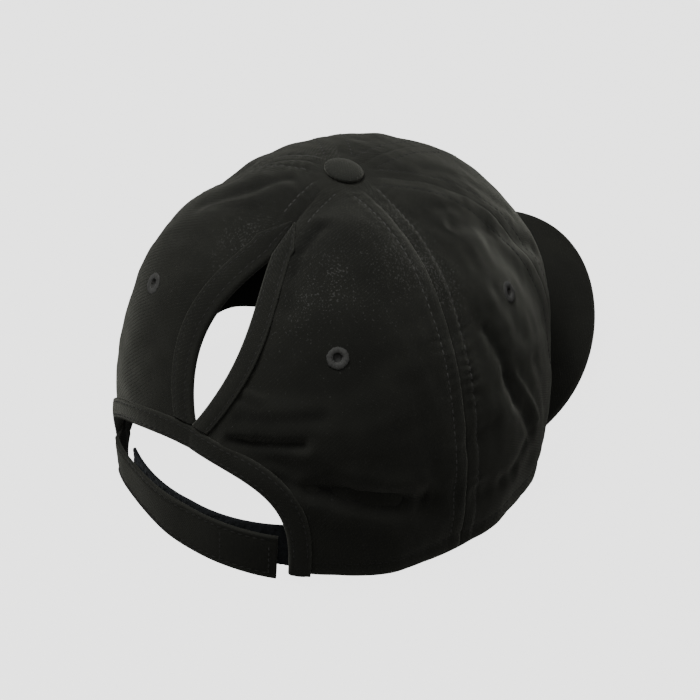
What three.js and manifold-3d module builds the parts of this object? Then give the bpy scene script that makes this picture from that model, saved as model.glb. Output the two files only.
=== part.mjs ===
// Ponytail baseball cap: six cloth panels, a tall slot and an arch at the back with their facings,
// a two-part closing strap, a sweatband, a bent peak, a covered button and four sewn eyelets.
// Millimetres, +Z up. The peak points to -Y and the wearer's right is -X. The cap rests on z = 0.
import * as THREE from 'three';
import Module from 'manifold-3d';

const wasm = await Module();
wasm.setup();

// Crown, measured on its outside
const crownHalfWidth = 85.2;
const crownHalfDepth = 96.5;
const crownHeight = 130.3;
const frontFullness = 2.38;
const sideFullness = 2.45;
const backFullness = 2.36;
const apexShiftLeft = 3.8;
const apexShiftBack = 1.2;
const apexSlope = 0.17;
const apexSlopeReach = 25;
const apexSlopeTurn = 123;
const backPanelPuff = 8;
const puffTopDrop = 0.05;
const puffFadeSpan = 0.16;
const puffLift = 0.8;
const fullnessFocus = 1.2;

// Cloth and sewing
const clothWall = 1.5;
const sewnGap = 0.3;
const seamWidth = 0.4;

// Hem heights above the surface that the cap rests on
const frontHemHeight = 37.5;
const sideHemHeight = 1.3;
const backHemHeight = 4.2;
const restingHemHeight = 0.2;
const hemLiftHeight = 17;
const hemLiftTurn = -106;
const hemLiftSpan = 16;
const backHemTurn = 30;
const backHemSpan = 24;
const sheetTurnSpan = 46;

// Turns are degrees around the crown from the middle of the back, toward the wearer's right
const sideSeamTurn = 74.4;
const frontSeamTurn = 130.5;

// Peak
const peakLength = 62.5;
const peakHalfWidth = 68.6;
const peakThickness = 3.2;
const peakBendRadius = 71;
const peakForwardRise = 0.06;
const peakLeanLeft = 0.01;
const peakCornerTurn = 125;
const peakRoundness = 0.92;

// Slot for the ponytail, between the two back panels
const slotTopDrop = 0.302;
const slotFootDrop = 0.76;
const slotTopTurn = 2.4;
const slotFootTurn = -3;
const slotMiddleRise = -0.25;
const slotWidth = 20.5;
const slotWidestLow = 1.25;
const slotRoundness = 0.85;
const facingWidth = 9.3;
const facingTopDrop = 0.208;
const facingTopWidth = 0.1;
const facingTopSpan = 0.09;
const facingThickness = 1.1;
const facingLift = 0.6;

// Arch above the strap
const archMiddleTurn = -6.5;
const archLeftTurn = 43;
const archRightTurn = 35;
const archHeight = 49;
const archLeftFullness = 1.7;
const archRightFullness = 3.5;
const bindingWidth = 9;

// Straps
const strapThickness = 1.4;
const outerStrapHeight = 19.5;
const outerStrapRise = 6;
const outerStrapEndTurn = 25;
const innerStrapFoot = 4.6;
const innerStrapHeight = 19.6;
const innerStrapRise = 6;
const innerStrapEndTurn = -31;
const strapTuckTurn = 4.5;
const strapStepStart = 1.3;
const strapGap = 0.6;
const outerStrapInset = 0.2;
const outerStrapBow = 1.4;
const innerStrapSag = 2.2;

// Sweatband
const sweatbandHeight = 31;
const sweatbandThickness = 1.2;
const sweatbandGap = 0.9;
const sweatbandClearTurn = 1;

// Button and eyelets
const buttonDiameter = 16;
const buttonHeight = 3.4;
const shankDiameter = 4;
const shankLength = 4.5;
const buttonBrow = 0.3;
const buttonRise = 0.1;
const buttonFoot = 0.9;
const eyeletDiameter = 8.8;
const eyeletHole = 2.4;
const eyeletBarrel = 5;
const eyeletRim = 0.9;
const eyeletLift = 0.6;
const eyeletDrop = 0.54;
const eyeletSideDrop = 0.56;
const eyeletInnerRim = 0.85;
const eyeletInnerHeight = 0.5;
const eyeletCrest = 0.8;
const eyeletMouth = 0.6;

// Soft swellings of the crown. Spans are shares of the back panel's turn and of the crown's drop,
// and heights are shares of bulgeHeight.
const bulgeHeight = 6;
const bulges = [
  { turn: 146, drop: 0.73, turnSpan: 0.32, dropSpan: 0.15, height: 0.7 },
  { turn: -146, drop: 0.73, turnSpan: 0.32, dropSpan: 0.15, height: 0.7 },
  { turn: -56, drop: 0.54, turnSpan: 0.26, dropSpan: 0.16, height: 0.35 },
  { turn: -146, drop: 0.32, turnSpan: 0.2, dropSpan: 0.1, height: 0.16 },
  { turn: -98, drop: 0.34, turnSpan: 0.3, dropSpan: 0.12, height: -0.2 },
  { turn: 102, drop: 0.86, turnSpan: 0.28, dropSpan: 0.12, height: 0.25 },
  { turn: 38, drop: 0.7, turnSpan: 0.3, dropSpan: 0.06, height: 0.25 },
];

// Folds run straight from one place of the crown to another. Widths and depths are shares of
// foldWidth and foldDepth, and a negative depth is a ridge.
const foldWidth = 10;
const foldDepth = 3;
const folds = [
  { turnA: 14, dropA: 0.755, turnB: 38, dropB: 0.815, width: 0.45, depth: 0.7 },
  { turnA: 38, dropA: 0.815, turnB: 64, dropB: 0.89, width: 0.5, depth: 0.6 },
  { turnA: 64, dropA: 0.89, turnB: 99, dropB: 0.915, width: 0.7, depth: 0.25 },
  { turnA: 18, dropA: 0.735, turnB: 30, dropB: 0.722, width: 0.3, depth: 0.4 },
  { turnA: 87, dropA: 0.544, turnB: 93.8, dropB: 0.732, width: 0.8, depth: 0.5 },
  { turnA: 93.8, dropA: 0.732, turnB: 102, dropB: 0.926, width: 0.8, depth: 0.4 },
  { turnA: 22, dropA: 0.22, turnB: 17.5, dropB: 0.36, width: 0.45, depth: 0.4 },
  { turnA: 104, dropA: 0.22, turnB: 122, dropB: 0.36, width: 0.6, depth: 0.4 },
  { turnA: 117, dropA: 0.42, turnB: 127, dropB: 0.82, width: 0.7, depth: 0.7 },
  { turnA: -34, dropA: 0.2, turnB: -47, dropB: 0.36, width: 0.5, depth: 0.5 },
  { turnA: -70, dropA: 0.3, turnB: -92, dropB: 0.4, width: 0.9, depth: 0.6 },
  { turnA: -117, dropA: 0.42, turnB: -127, dropB: 0.82, width: 0.7, depth: 0.7 },
];

// Cutters reach past the wall on both sides, past the slot's foot and below the hem
const cutterReach = 12;
const cutterRunOut = 0.03;
const cutterDepthBelow = 6;
const cutterClosing = 0.999;

// Grids: columns around and rows down
const backPanelGrid = [11, 19];
const sidePanelGrid = [9, 18];
const frontPanelGrid = [8, 18];
const slotCutterGrid = [2, 22];
const archCutterGrid = [28, 4];
const facingGrid = [2, 22];
const bindingGrid = [40, 2];
const outerStrapGrid = [24, 2];
const innerStrapGrid = [22, 2];
const sweatbandGrid = [44, 3];
const peakGrid = [30, 5];
const eyeletSides = 14;
const buttonSides = 22;
const domeSteps = 6;
const rowCrowding = 1.15;

const degree = Math.PI / 180;
const quarterTurn = 90;
const halfTurn = 180;
const fullTurn = 360;
const backPanelTurn = sideSeamTurn;
const panelTopDrop = 0.0125;
const meridianLength = 165;
const hemFade = 0.05;
const tinyDrop = 0.0001;
const tinyTurn = 1;
const normalStep = 0.01;
const weldsPerLength = 100;

function smooth(x) {
  const t = THREE.MathUtils.clamp(x, 0, 1);
  return t * t * (3 - 2 * t);
}

function bell(x) {
  return Math.exp(-x * x);
}

// The bent sheet that the peak and the front hem follow
function sheetHeight(x, y) {
  const bend = x * x / (2 * peakBendRadius);
  return frontHemHeight - bend + peakForwardRise * (y + crownHalfDepth) + peakLeanLeft * x;
}

function hemHeight(turn) {
  const angle = Math.abs(turn);
  const x = -crownHalfWidth * Math.sin(turn * degree);
  const y = crownHalfDepth * Math.cos(angle * degree);
  const low = THREE.MathUtils.lerp(backHemHeight, sideHemHeight, smooth((angle - backHemTurn) / backHemSpan));
  const share = smooth((angle - quarterTurn) / sheetTurnSpan);
  const lift = hemLiftHeight * bell((turn - hemLiftTurn) / hemLiftSpan);
  return Math.max(restingHemHeight, THREE.MathUtils.lerp(low, sheetHeight(x, y), share) + lift);
}

// Height of the crown above its hem, and its reach from the middle, at one drop
function section(turn, drop) {
  const along = Math.cos(turn * degree);
  const front = Math.pow(Math.max(0, -along), fullnessFocus);
  const back = Math.pow(Math.max(0, along), fullnessFocus);
  const fullness = sideFullness + (frontFullness - sideFullness) * front
    + (backFullness - sideFullness) * back;
  const angle = drop * Math.PI / 2;
  return {
    fullness,
    reach: Math.pow(Math.sin(angle), 2 / fullness),
    rise: Math.pow(Math.max(0, Math.cos(angle)), 2 / fullness),
  };
}

function foldRelief(turn, drop) {
  const spread = crownHalfWidth * degree * Math.sin(drop * Math.PI / 2);
  let relief = 0;
  for (const fold of folds) {
    const across = fold.turnB - fold.turnA;
    const down = fold.dropB - fold.dropA;
    const run = new THREE.Vector2(across * spread, down * meridianLength);
    const here = new THREE.Vector2((turn - fold.turnA) * spread, (drop - fold.dropA) * meridianLength);
    const share = here.dot(run) / run.lengthSq();
    const nearest = run.clone().multiplyScalar(THREE.MathUtils.clamp(share, 0, 1));
    const distance = here.distanceTo(nearest);
    relief -= fold.depth * foldDepth * bell(distance / (fold.width * foldWidth));
  }
  return relief;
}

// The same turn, between half a turn one way and half a turn the other
function nearTurn(turn) {
  return turn - fullTurn * Math.round(turn / fullTurn);
}

function bulgeRelief(turn, drop) {
  let relief = 0;
  for (const bulge of bulges) {
    const across = nearTurn(turn - bulge.turn) / (bulge.turnSpan * backPanelTurn);
    const down = (drop - bulge.drop) / bulge.dropSpan;
    relief += bulge.height * bulgeHeight * bell(Math.hypot(across, down));
  }
  return relief;
}

// How far the cloth stands out from the plain crown: puffed back panels, swellings and folds
function relief(turn, drop) {
  const wrapped = nearTurn(turn);
  const middle = slotMiddle(drop);
  const seam = wrapped > middle ? sideSeamTurn : -sideSeamTurn;
  const across = Math.sin(Math.PI * Math.min(1, (wrapped - middle) / (seam - middle)));
  const height = Math.max(0, Math.sin(Math.PI * Math.pow(drop, puffLift)));
  const underButton = smooth((drop - puffTopDrop) / puffFadeSpan);
  const puff = backPanelPuff * Math.max(0, across) * underButton * Math.pow(height, puffLift);
  const fade = smooth((1 - drop) / hemFade);
  return puff + fade * (bulgeRelief(wrapped, drop) + foldRelief(wrapped, drop));
}

function crownPoint(turn, drop, out) {
  const { reach, rise } = section(turn, drop);
  const sine = Math.sin(turn * degree);
  const cosine = Math.cos(turn * degree);
  const hem = hemHeight(nearTurn(turn));
  const base = new THREE.Vector3(
    -crownHalfWidth * reach * sine + apexShiftLeft * (1 - reach),
    crownHalfDepth * reach * cosine + apexShiftBack * (1 - reach),
    hem + (crownHeight - hem) * rise,
  );
  const tiltTurn = (turn - apexSlopeTurn) * degree;
  const radius = reach * crownHalfWidth;
  base.z -= apexSlope * radius * Math.cos(tiltTurn) * bell(radius / apexSlopeReach);
  const outward = new THREE.Vector3(-sine * reach, cosine * reach, rise).normalize();
  return base.addScaledVector(outward, relief(turn, drop) + out);
}

function dropAtHeight(turn, height) {
  const hem = hemHeight(turn);
  const share = Math.max(0, (height - hem) / (crownHeight - hem));
  const { fullness } = section(turn, 1);
  return Math.acos(Math.pow(share, fullness / 2)) * 2 / Math.PI;
}

// A point of the low wall at an exact height, also below the hem
function wallPoint(turn, height, out) {
  const point = crownPoint(turn, dropAtHeight(turn, height), out);
  point.z = height;
  return point;
}

function crownNormal(turn, drop) {
  const across = crownPoint(turn + tinyTurn, drop, 0).sub(crownPoint(turn - tinyTurn, drop, 0));
  const down = crownPoint(turn, drop + normalStep, 0).sub(crownPoint(turn, drop - normalStep, 0));
  return down.cross(across).normalize();
}

function signedVolume(geometry) {
  const position = geometry.attributes.position;
  const [a, b, c] = [new THREE.Vector3(), new THREE.Vector3(), new THREE.Vector3()];
  let sum = 0;
  for (let i = 0; i < geometry.index.count; i += 3) {
    a.fromBufferAttribute(position, geometry.index.getX(i));
    b.fromBufferAttribute(position, geometry.index.getX(i + 1));
    c.fromBufferAttribute(position, geometry.index.getX(i + 2));
    sum += a.dot(b.cross(c));
  }
  return sum / 6;
}

function facingOut(geometry) {
  if (signedVolume(geometry) < 0) {
    const index = geometry.index.array;
    for (let i = 0; i < index.length; i += 3) {
      [index[i + 1], index[i + 2]] = [index[i + 2], index[i + 1]];
    }
  }
  return geometry;
}

// A closed wall between an outer and an inner grid. pointAt takes two shares and a side, 1 or 0.
function wall(pointAt, columns, rows) {
  const points = [];
  const index = [];
  const across = rows + 1;
  const layer = (columns + 1) * across;
  for (const side of [1, 0]) {
    for (let i = 0; i <= columns; i += 1) {
      for (let j = 0; j <= rows; j += 1) {
        points.push(...pointAt(i / columns, j / rows, side).toArray());
      }
    }
  }
  const quad = (a, b, c, d) => index.push(a, b, c, a, c, d);
  for (let i = 0; i < columns; i += 1) {
    for (let j = 0; j < rows; j += 1) {
      const a = i * across + j;
      quad(a, a + across, a + across + 1, a + 1);
      quad(layer + a, layer + a + 1, layer + a + across + 1, layer + a + across);
    }
  }
  for (let i = 0; i < columns; i += 1) {
    const top = i * across;
    const foot = top + rows;
    quad(top, layer + top, layer + top + across, top + across);
    quad(foot, foot + across, layer + foot + across, layer + foot);
  }
  for (let j = 0; j < rows; j += 1) {
    const end = columns * across + j;
    quad(j, j + 1, layer + j + 1, layer + j);
    quad(end, layer + end, layer + end + 1, end + 1);
  }
  const geometry = new THREE.BufferGeometry();
  geometry.setAttribute('position', new THREE.Float32BufferAttribute(points, 3));
  geometry.setIndex(index);
  return facingOut(geometry);
}

function toSolid(geometry) {
  return new wasm.Manifold(new wasm.Mesh({
    numProp: 3,
    vertProperties: new Float32Array(geometry.attributes.position.array),
    triVerts: new Uint32Array(geometry.index.array),
  }));
}

function cut(geometry, ...cutters) {
  let solid = toSolid(geometry);
  for (const cutter of cutters) {
    solid = solid.subtract(toSolid(cutter));
  }
  const mesh = solid.getMesh();
  const result = new THREE.BufferGeometry();
  result.setAttribute('position', new THREE.Float32BufferAttribute(mesh.vertProperties, 3));
  result.setIndex(Array.from(mesh.triVerts));
  return result;
}

function cloth(color, roughness) {
  return new THREE.MeshStandardMaterial({ color, roughness, metalness: 0 });
}

const part = new THREE.Group();

function addPiece(name, geometry, material) {
  const mesh = new THREE.Mesh(geometry, material);
  mesh.name = name;
  part.add(mesh);
  return mesh;
}

// Middle line and half width of the slot at one drop, in turns
function slotMiddle(drop) {
  const share = (drop - slotTopDrop) / (slotFootDrop - slotTopDrop);
  return THREE.MathUtils.lerp(slotTopTurn, slotFootTurn, THREE.MathUtils.clamp(share, slotMiddleRise, 1));
}

function turnsPerLength(drop) {
  return 1 / (crownHalfDepth * section(0, drop).reach * degree);
}

// The slot opens fast under its top, is widest a little past its middle and closes to a point
function slotHalfWidth(drop) {
  const share = THREE.MathUtils.clamp((drop - slotTopDrop) / (slotFootDrop - slotTopDrop), 0, 1);
  return slotWidth / 2 * Math.pow(Math.sin(Math.PI * Math.pow(share, slotWidestLow)), slotRoundness);
}

function slotEdge(side, drop, extra) {
  return slotMiddle(drop) + side * (slotHalfWidth(drop) + extra) * turnsPerLength(drop);
}

// Turn from the arch's middle to its foot, moved outward by margin, on the side that way points to
function archSpan(way, margin) {
  return (way < 0 ? archLeftTurn : archRightTurn) + margin * turnsPerLength(1);
}

// Height of the arch's edge, moved outward by margin, at one turn
function archTop(turn, margin) {
  const offset = (turn - archMiddleTurn) / archSpan(turn - archMiddleTurn, margin);
  const fullness = offset < 0 ? archLeftFullness : archRightFullness;
  const share = Math.max(0, 1 - Math.pow(Math.abs(offset), fullness));
  return (archHeight + margin) * Math.pow(share, 1 / fullness);
}

// Cutter through the back wall, in the shape of the slot
function slotCutter(extra) {
  return wall((u, v, side) => {
    const drop = THREE.MathUtils.lerp(slotTopDrop, slotFootDrop + cutterRunOut, v);
    const turn = THREE.MathUtils.lerp(slotEdge(-1, drop, extra), slotEdge(1, drop, extra), u);
    return crownPoint(turn, drop, (2 * side - 1) * cutterReach);
  }, ...slotCutterGrid);
}

// Cutter through the back wall, in the shape of the arch, running out below the hem
function archCutter(extra) {
  return wall((u, v, side) => {
    const swing = Math.sin((u - 0.5) * Math.PI);
    const turn = archMiddleTurn + swing * archSpan(swing, extra) * cutterClosing;
    const height = THREE.MathUtils.lerp(archTop(turn, extra), -cutterDepthBelow, v);
    return wallPoint(turn, height, (2 * side - 1) * cutterReach);
  }, ...archCutterGrid);
}

function panelWall(fromTurn, toTurn, grid) {
  const halfSeam = seamWidth / 2;
  return wall((u, v, side) => {
    const drop = panelTopDrop + (1 - panelTopDrop) * Math.pow(v, rowCrowding);
    const inset = halfSeam * turnsPerLength(drop);
    const turn = THREE.MathUtils.lerp(fromTurn + inset, toTurn - inset, u);
    return crownPoint(turn, drop, (side - 1) * clothWall);
  }, ...grid);
}

// A back panel's inner edge follows the slot's slanting middle line
function backPanelWall(side) {
  const halfSeam = seamWidth / 2;
  return wall((u, v, layer) => {
    const drop = panelTopDrop + (1 - panelTopDrop) * Math.pow(v, rowCrowding);
    const inset = halfSeam * turnsPerLength(drop);
    const inner = slotMiddle(drop) + side * inset;
    const outer = side * (sideSeamTurn - inset);
    return crownPoint(THREE.MathUtils.lerp(inner, outer, u), drop, (layer - 1) * clothWall);
  }, ...backPanelGrid);
}

function placeOn(object, turn, drop) {
  const up = new THREE.Vector3(0, 0, 1);
  object.position.copy(crownPoint(turn, drop, 0));
  object.quaternion.setFromUnitVectors(up, crownNormal(turn, drop));
}

function eyeletCutter(turn, drop) {
  const radius = eyeletBarrel / 2 + sewnGap;
  const geometry = new THREE.CylinderGeometry(radius, radius, cutterReach, eyeletSides).toNonIndexed();
  geometry.deleteAttribute('normal');
  geometry.deleteAttribute('uv');
  const holder = new THREE.Object3D();
  placeOn(holder, turn, drop);
  holder.updateMatrix();
  geometry.rotateX(Math.PI / 2);
  geometry.applyMatrix4(holder.matrix);
  return facingOut(welded(geometry));
}

// Merges the vertices that share a place, to a hundredth of a millimetre
function welded(geometry) {
  const position = geometry.attributes.position;
  const places = new Map();
  const points = [];
  const index = [];
  for (let i = 0; i < position.count; i += 1) {
    const point = [position.getX(i), position.getY(i), position.getZ(i)];
    const key = point.map((value) => Math.round(value * weldsPerLength)).join(' ');
    if (!places.has(key)) {
      places.set(key, places.size);
      points.push(...point);
    }
    index.push(places.get(key));
  }
  const result = new THREE.BufferGeometry();
  result.setAttribute('position', new THREE.Float32BufferAttribute(points, 3));
  result.setIndex(index.filter((value, i) => keepsTriangle(index, i)));
  return result;
}

function keepsTriangle(index, i) {
  const start = i - (i % 3);
  const [a, b, c] = [index[start], index[start + 1], index[start + 2]];
  return a !== b && b !== c && a !== c;
}

const eyelets = [
  { name: 'eyelet_back_right', turn: 36.9, drop: eyeletDrop, panel: 'panel_back_right' },
  { name: 'eyelet_back_left', turn: -34, drop: eyeletSideDrop, panel: 'panel_back_left' },
  { name: 'eyelet_side_right', turn: 106.5, drop: eyeletDrop, panel: 'panel_side_right' },
  { name: 'eyelet_side_left', turn: -108, drop: eyeletSideDrop, panel: 'panel_side_left' },
];

function eyeletCutters(panel) {
  const rows = eyelets.filter((row) => row.panel === panel);
  return rows.map((row) => eyeletCutter(row.turn, row.drop));
}

function addPanels() {
  const backCuts = [slotCutter(sewnGap), archCutter(sewnGap)];
  const black = () => cloth(0x26272a, 0.93);
  for (const [word, side] of [['right', 1], ['left', -1]]) {
    const back = `panel_back_${word}`;
    addPiece(back, cut(backPanelWall(side), ...backCuts, ...eyeletCutters(back)), black());
    const middle = `panel_side_${word}`;
    const sideTurns = [side * sideSeamTurn, side * frontSeamTurn].sort((a, b) => a - b);
    addPiece(middle, cut(panelWall(...sideTurns, sidePanelGrid), ...eyeletCutters(middle)), black());
    const front = `panel_front_${word}`;
    const frontTurns = [side * frontSeamTurn, side * halfTurn].sort((a, b) => a - b);
    addPiece(front, panelWall(...frontTurns, frontPanelGrid), black());
  }
}

// A strip on the outside of a back panel along the slot's edge
function facing(side) {
  const halfSeam = seamWidth / 2;
  return wall((u, v, layer) => {
    const drop = THREE.MathUtils.lerp(facingTopDrop, bindingTopDrop(side, u), v);
    const closing = Math.min(1, (drop - facingTopDrop) / facingTopSpan + facingTopWidth);
    const near = Math.max(slotHalfWidth(drop), halfSeam);
    const reach = near + u * facingWidth * closing;
    const turn = slotMiddle(drop) + side * reach * turnsPerLength(drop);
    return crownPoint(turn, drop, facingLift + layer * facingThickness);
  }, ...facingGrid);
}

// The drop where a facing ends, just above the arch's binding
function bindingTopDrop(side, u) {
  const turn = slotMiddle(slotFootDrop) + side * u * facingWidth * turnsPerLength(slotFootDrop);
  return dropAtHeight(turn, archTop(turn, bindingWidth + sewnGap));
}

function archBinding() {
  return wall((u, v, layer) => {
    const swing = Math.sin((u - 0.5) * Math.PI);
    const margin = v * bindingWidth;
    const turn = archMiddleTurn + swing * archSpan(swing, margin);
    const foot = hemHeight(turn);
    const height = Math.max(foot, archTop(turn, margin));
    return wallPoint(turn, height, facingLift + layer * facingThickness);
  }, ...bindingGrid);
}

// The outer strap comes from behind the arch's left foot, steps out almost to the crown's own face
// and stands with its lower edge on the surface
function outerStrap() {
  const foot = archMiddleTurn - archLeftTurn;
  const start = foot - strapTuckTurn;
  const tucked = clothWall + strapGap;
  return wall((u, v, layer) => {
    const turn = THREE.MathUtils.lerp(start, outerStrapEndTurn, u);
    const height = v * (outerStrapHeight + (u - 0.5) * outerStrapRise);
    const step = smooth((turn - foot - strapStepStart * strapTuckTurn) / strapTuckTurn);
    const bowed = outerStrapInset + outerStrapBow * Math.sin(Math.PI * u);
    const inset = THREE.MathUtils.lerp(tucked, bowed, step);
    return wallPoint(turn, height, -inset - (1 - layer) * strapThickness);
  }, ...outerStrapGrid);
}

// The inner strap comes from behind the arch's right foot and runs behind the outer one
function innerStrap() {
  const start = archMiddleTurn + archRightTurn + strapTuckTurn;
  const inset = outerStrapInset + outerStrapBow + strapThickness + strapGap;
  return wall((u, v, layer) => {
    const turn = THREE.MathUtils.lerp(innerStrapEndTurn, start, u);
    const top = innerStrapHeight + (u - 0.5) * innerStrapRise - innerStrapSag * Math.sin(u * Math.PI);
    return wallPoint(turn, innerStrapFoot + v * top, -inset - (1 - layer) * strapThickness);
  }, ...innerStrapGrid);
}

function sweatband() {
  const clear = strapTuckTurn + sweatbandClearTurn;
  const start = archMiddleTurn + archRightTurn + clear;
  const end = fullTurn + archMiddleTurn - archLeftTurn - clear;
  const inset = clothWall + sweatbandGap;
  return wall((u, v, layer) => {
    const turn = THREE.MathUtils.lerp(start, end, u);
    const near = nearTurn(turn);
    const height = hemHeight(near) + sewnGap + v * sweatbandHeight;
    return crownPoint(turn, dropAtHeight(near, height), -inset - (1 - layer) * sweatbandThickness);
  }, ...sweatbandGrid);
}

// The peak's outer edge is half of a full, rounded ellipse from corner to corner
function peakEdge(u) {
  const angle = (u - 0.5) * Math.PI;
  const sine = Math.sin(angle);
  const cosine = Math.max(0, Math.cos(angle));
  const cornerY = crownHalfDepth * Math.cos(peakCornerTurn * degree);
  const depth = crownHalfDepth + peakLength + cornerY;
  const across = Math.sign(sine) * Math.pow(Math.abs(sine), peakRoundness);
  return new THREE.Vector2(peakHalfWidth * across, cornerY - depth * Math.pow(cosine, peakRoundness));
}

function peak() {
  const half = halfTurn - peakCornerTurn;
  return wall((u, v, layer) => {
    const turn = halfTurn + (u - 0.5) * 2 * half;
    const seat = crownPoint(turn, 1, sewnGap);
    const inner = new THREE.Vector2(seat.x, seat.y);
    const place = inner.lerp(peakEdge(u), v);
    const height = sheetHeight(place.x, place.y) + (layer - 0.5) * peakThickness;
    return new THREE.Vector3(place.x, place.y, height);
  }, ...peakGrid);
}

// The button's dome turned about its shank, which passes the hole where the panels meet
function button() {
  const radius = buttonDiameter / 2;
  const shank = shankDiameter / 2;
  const dome = [];
  const brow = buttonHeight * buttonBrow;
  for (let i = 0; i <= domeSteps; i += 1) {
    const angle = i / domeSteps * Math.PI / 2;
    dome.push(new THREE.Vector2(radius * Math.cos(angle), brow + (buttonHeight - brow) * Math.sin(angle)));
  }
  dome[domeSteps].x = 0;
  const profile = [
    new THREE.Vector2(0, -shankLength),
    new THREE.Vector2(shank, -shankLength),
    new THREE.Vector2(shank, buttonRise * buttonHeight),
    new THREE.Vector2(radius * buttonFoot, buttonRise * buttonHeight),
    ...dome,
  ];
  return facingOut(welded(new THREE.LatheGeometry(profile, buttonSides).toNonIndexed()));
}

function addButton() {
  const mesh = addPiece('button', button(), cloth(0x2c2d30, 0.92));
  mesh.geometry.rotateX(Math.PI / 2);
  facingOut(mesh.geometry);
  const apex = crownPoint(0, tinyDrop, 0);
  const lean = new THREE.Vector3(
    -apexSlope * Math.sin(apexSlopeTurn * degree),
    apexSlope * Math.cos(apexSlopeTurn * degree),
    1,
  ).normalize();
  mesh.position.copy(apex.addScaledVector(lean, sewnGap));
  mesh.quaternion.setFromUnitVectors(new THREE.Vector3(0, 0, 1), lean);
}

// A sewn eyelet: a rim outside, a barrel through the panel and a rim inside
function eyeletShape() {
  const hole = eyeletHole / 2;
  const barrel = eyeletBarrel / 2;
  const rim = eyeletDiameter / 2;
  const inside = clothWall + eyeletLift;
  const profile = [
    [hole, -inside - eyeletRim * eyeletInnerHeight],
    [rim * eyeletInnerRim, -inside - eyeletRim * eyeletInnerHeight],
    [rim * eyeletInnerRim, -inside],
    [barrel, -inside],
    [barrel, eyeletLift],
    [rim, eyeletLift],
    [rim * eyeletCrest, eyeletLift + eyeletRim],
    [hole, eyeletLift + eyeletRim * eyeletMouth],
    [hole, -inside - eyeletRim * eyeletInnerHeight],
  ].map(([x, y]) => new THREE.Vector2(x, y));
  const geometry = welded(new THREE.LatheGeometry(profile, eyeletSides).toNonIndexed());
  geometry.rotateX(Math.PI / 2);
  return facingOut(geometry);
}

function addEyelets() {
  for (const row of eyelets) {
    placeOn(addPiece(row.name, eyeletShape(), cloth(0x1f2022, 0.75)), row.turn, row.drop);
  }
}

// The cap stands on the surface with its box centred over the origin
function standCentred() {
  part.updateMatrixWorld(true);
  const box = new THREE.Box3().setFromObject(part, true);
  const middle = box.getCenter(new THREE.Vector3());
  part.position.set(-middle.x, -middle.y, -box.min.z);
}

addPanels();
addPiece('slot_facing_right', facing(1), cloth(0x2a2b2d, 0.92));
addPiece('slot_facing_left', facing(-1), cloth(0x2a2b2d, 0.92));
addPiece('arch_binding', archBinding(), cloth(0x2a2b2d, 0.92));
addPiece('strap_outer', outerStrap(), cloth(0x27282b, 0.92));
addPiece('strap_inner', innerStrap(), cloth(0x17191f, 0.97));
addPiece('sweatband', sweatband(), cloth(0x1e1f21, 0.95));
addPiece('peak', peak(), cloth(0x27282b, 0.92));
addButton();
addEyelets();
standCentred();

export default part;
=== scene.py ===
import math

import bpy
import numpy as np
from mathutils import Matrix, Vector


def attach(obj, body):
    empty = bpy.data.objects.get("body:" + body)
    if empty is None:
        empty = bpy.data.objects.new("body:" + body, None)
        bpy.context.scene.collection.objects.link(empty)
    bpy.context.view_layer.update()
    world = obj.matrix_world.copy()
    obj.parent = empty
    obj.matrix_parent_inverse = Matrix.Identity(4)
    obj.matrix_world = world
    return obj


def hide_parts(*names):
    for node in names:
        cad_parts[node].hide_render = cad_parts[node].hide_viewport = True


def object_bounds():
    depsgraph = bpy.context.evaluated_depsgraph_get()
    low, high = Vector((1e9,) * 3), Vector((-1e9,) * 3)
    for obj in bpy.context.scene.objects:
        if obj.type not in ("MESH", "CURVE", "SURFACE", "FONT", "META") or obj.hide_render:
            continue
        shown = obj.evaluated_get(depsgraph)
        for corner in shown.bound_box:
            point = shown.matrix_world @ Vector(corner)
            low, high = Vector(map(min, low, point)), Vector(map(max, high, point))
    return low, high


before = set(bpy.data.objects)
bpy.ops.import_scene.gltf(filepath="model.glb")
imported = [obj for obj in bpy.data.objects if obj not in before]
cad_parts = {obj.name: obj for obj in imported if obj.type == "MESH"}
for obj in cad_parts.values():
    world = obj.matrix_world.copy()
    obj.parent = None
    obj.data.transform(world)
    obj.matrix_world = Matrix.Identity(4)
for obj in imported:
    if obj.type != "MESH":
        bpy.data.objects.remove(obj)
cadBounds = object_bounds()

# Lengths are millimetres until a mesh is made. Turns are degrees around the crown from the middle
# of the back toward the wearer's right, and drop runs from 0 at the button to 1 at the hem.
millimetre = 0.001
degree = math.pi / 180

crown = {
    "halfWidth": 85.2, "halfDepth": 96.5, "height": 130.3,
    "frontFullness": 2.38, "sideFullness": 2.45, "backFullness": 2.36, "fullnessFocus": 1.2,
    "apexLeft": 3.8, "apexBack": 1.2, "apexSlope": 0.17, "apexReach": 25.0, "apexTurn": 123.0,
    "puff": 8.0, "puffTop": 0.05, "puffSpan": 0.16, "puffLift": 0.8,
    "cloth": 1.5, "meridian": 165.0, "hemFade": 0.05, "topDrop": 0.0125,
    "sideSeam": 74.4, "frontSeam": 130.5, "heart": 35.0, "ridgeAway": 2.1, "ridgeWidth": 1.3,
}
hem = {
    "front": 37.5, "side": 1.3, "back": 4.2, "rest": 0.2,
    "backTurn": 30.0, "backSpan": 24.0, "sheetSpan": 46.0,
    "lift": 17.0, "liftTurn": -106.0, "liftSpan": 16.0,
}
peakShape = {
    "length": 62.5, "halfWidth": 68.6, "thickness": 3.2, "bend": 71.0,
    "forwardRise": 0.06, "leanLeft": 0.01, "cornerTurn": 125.0, "roundness": 0.92,
}
slotShape = {
    "top": 0.302, "foot": 0.76, "topTurn": 2.4, "footTurn": -3.0, "rise": -0.25,
    "width": 20.5, "lowness": 1.25, "roundness": 0.85,
}
archShape = {
    "middle": -6.5, "left": 43.0, "right": 35.0, "height": 49.0,
    "leftFullness": 1.7, "rightFullness": 3.5,
}

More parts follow.
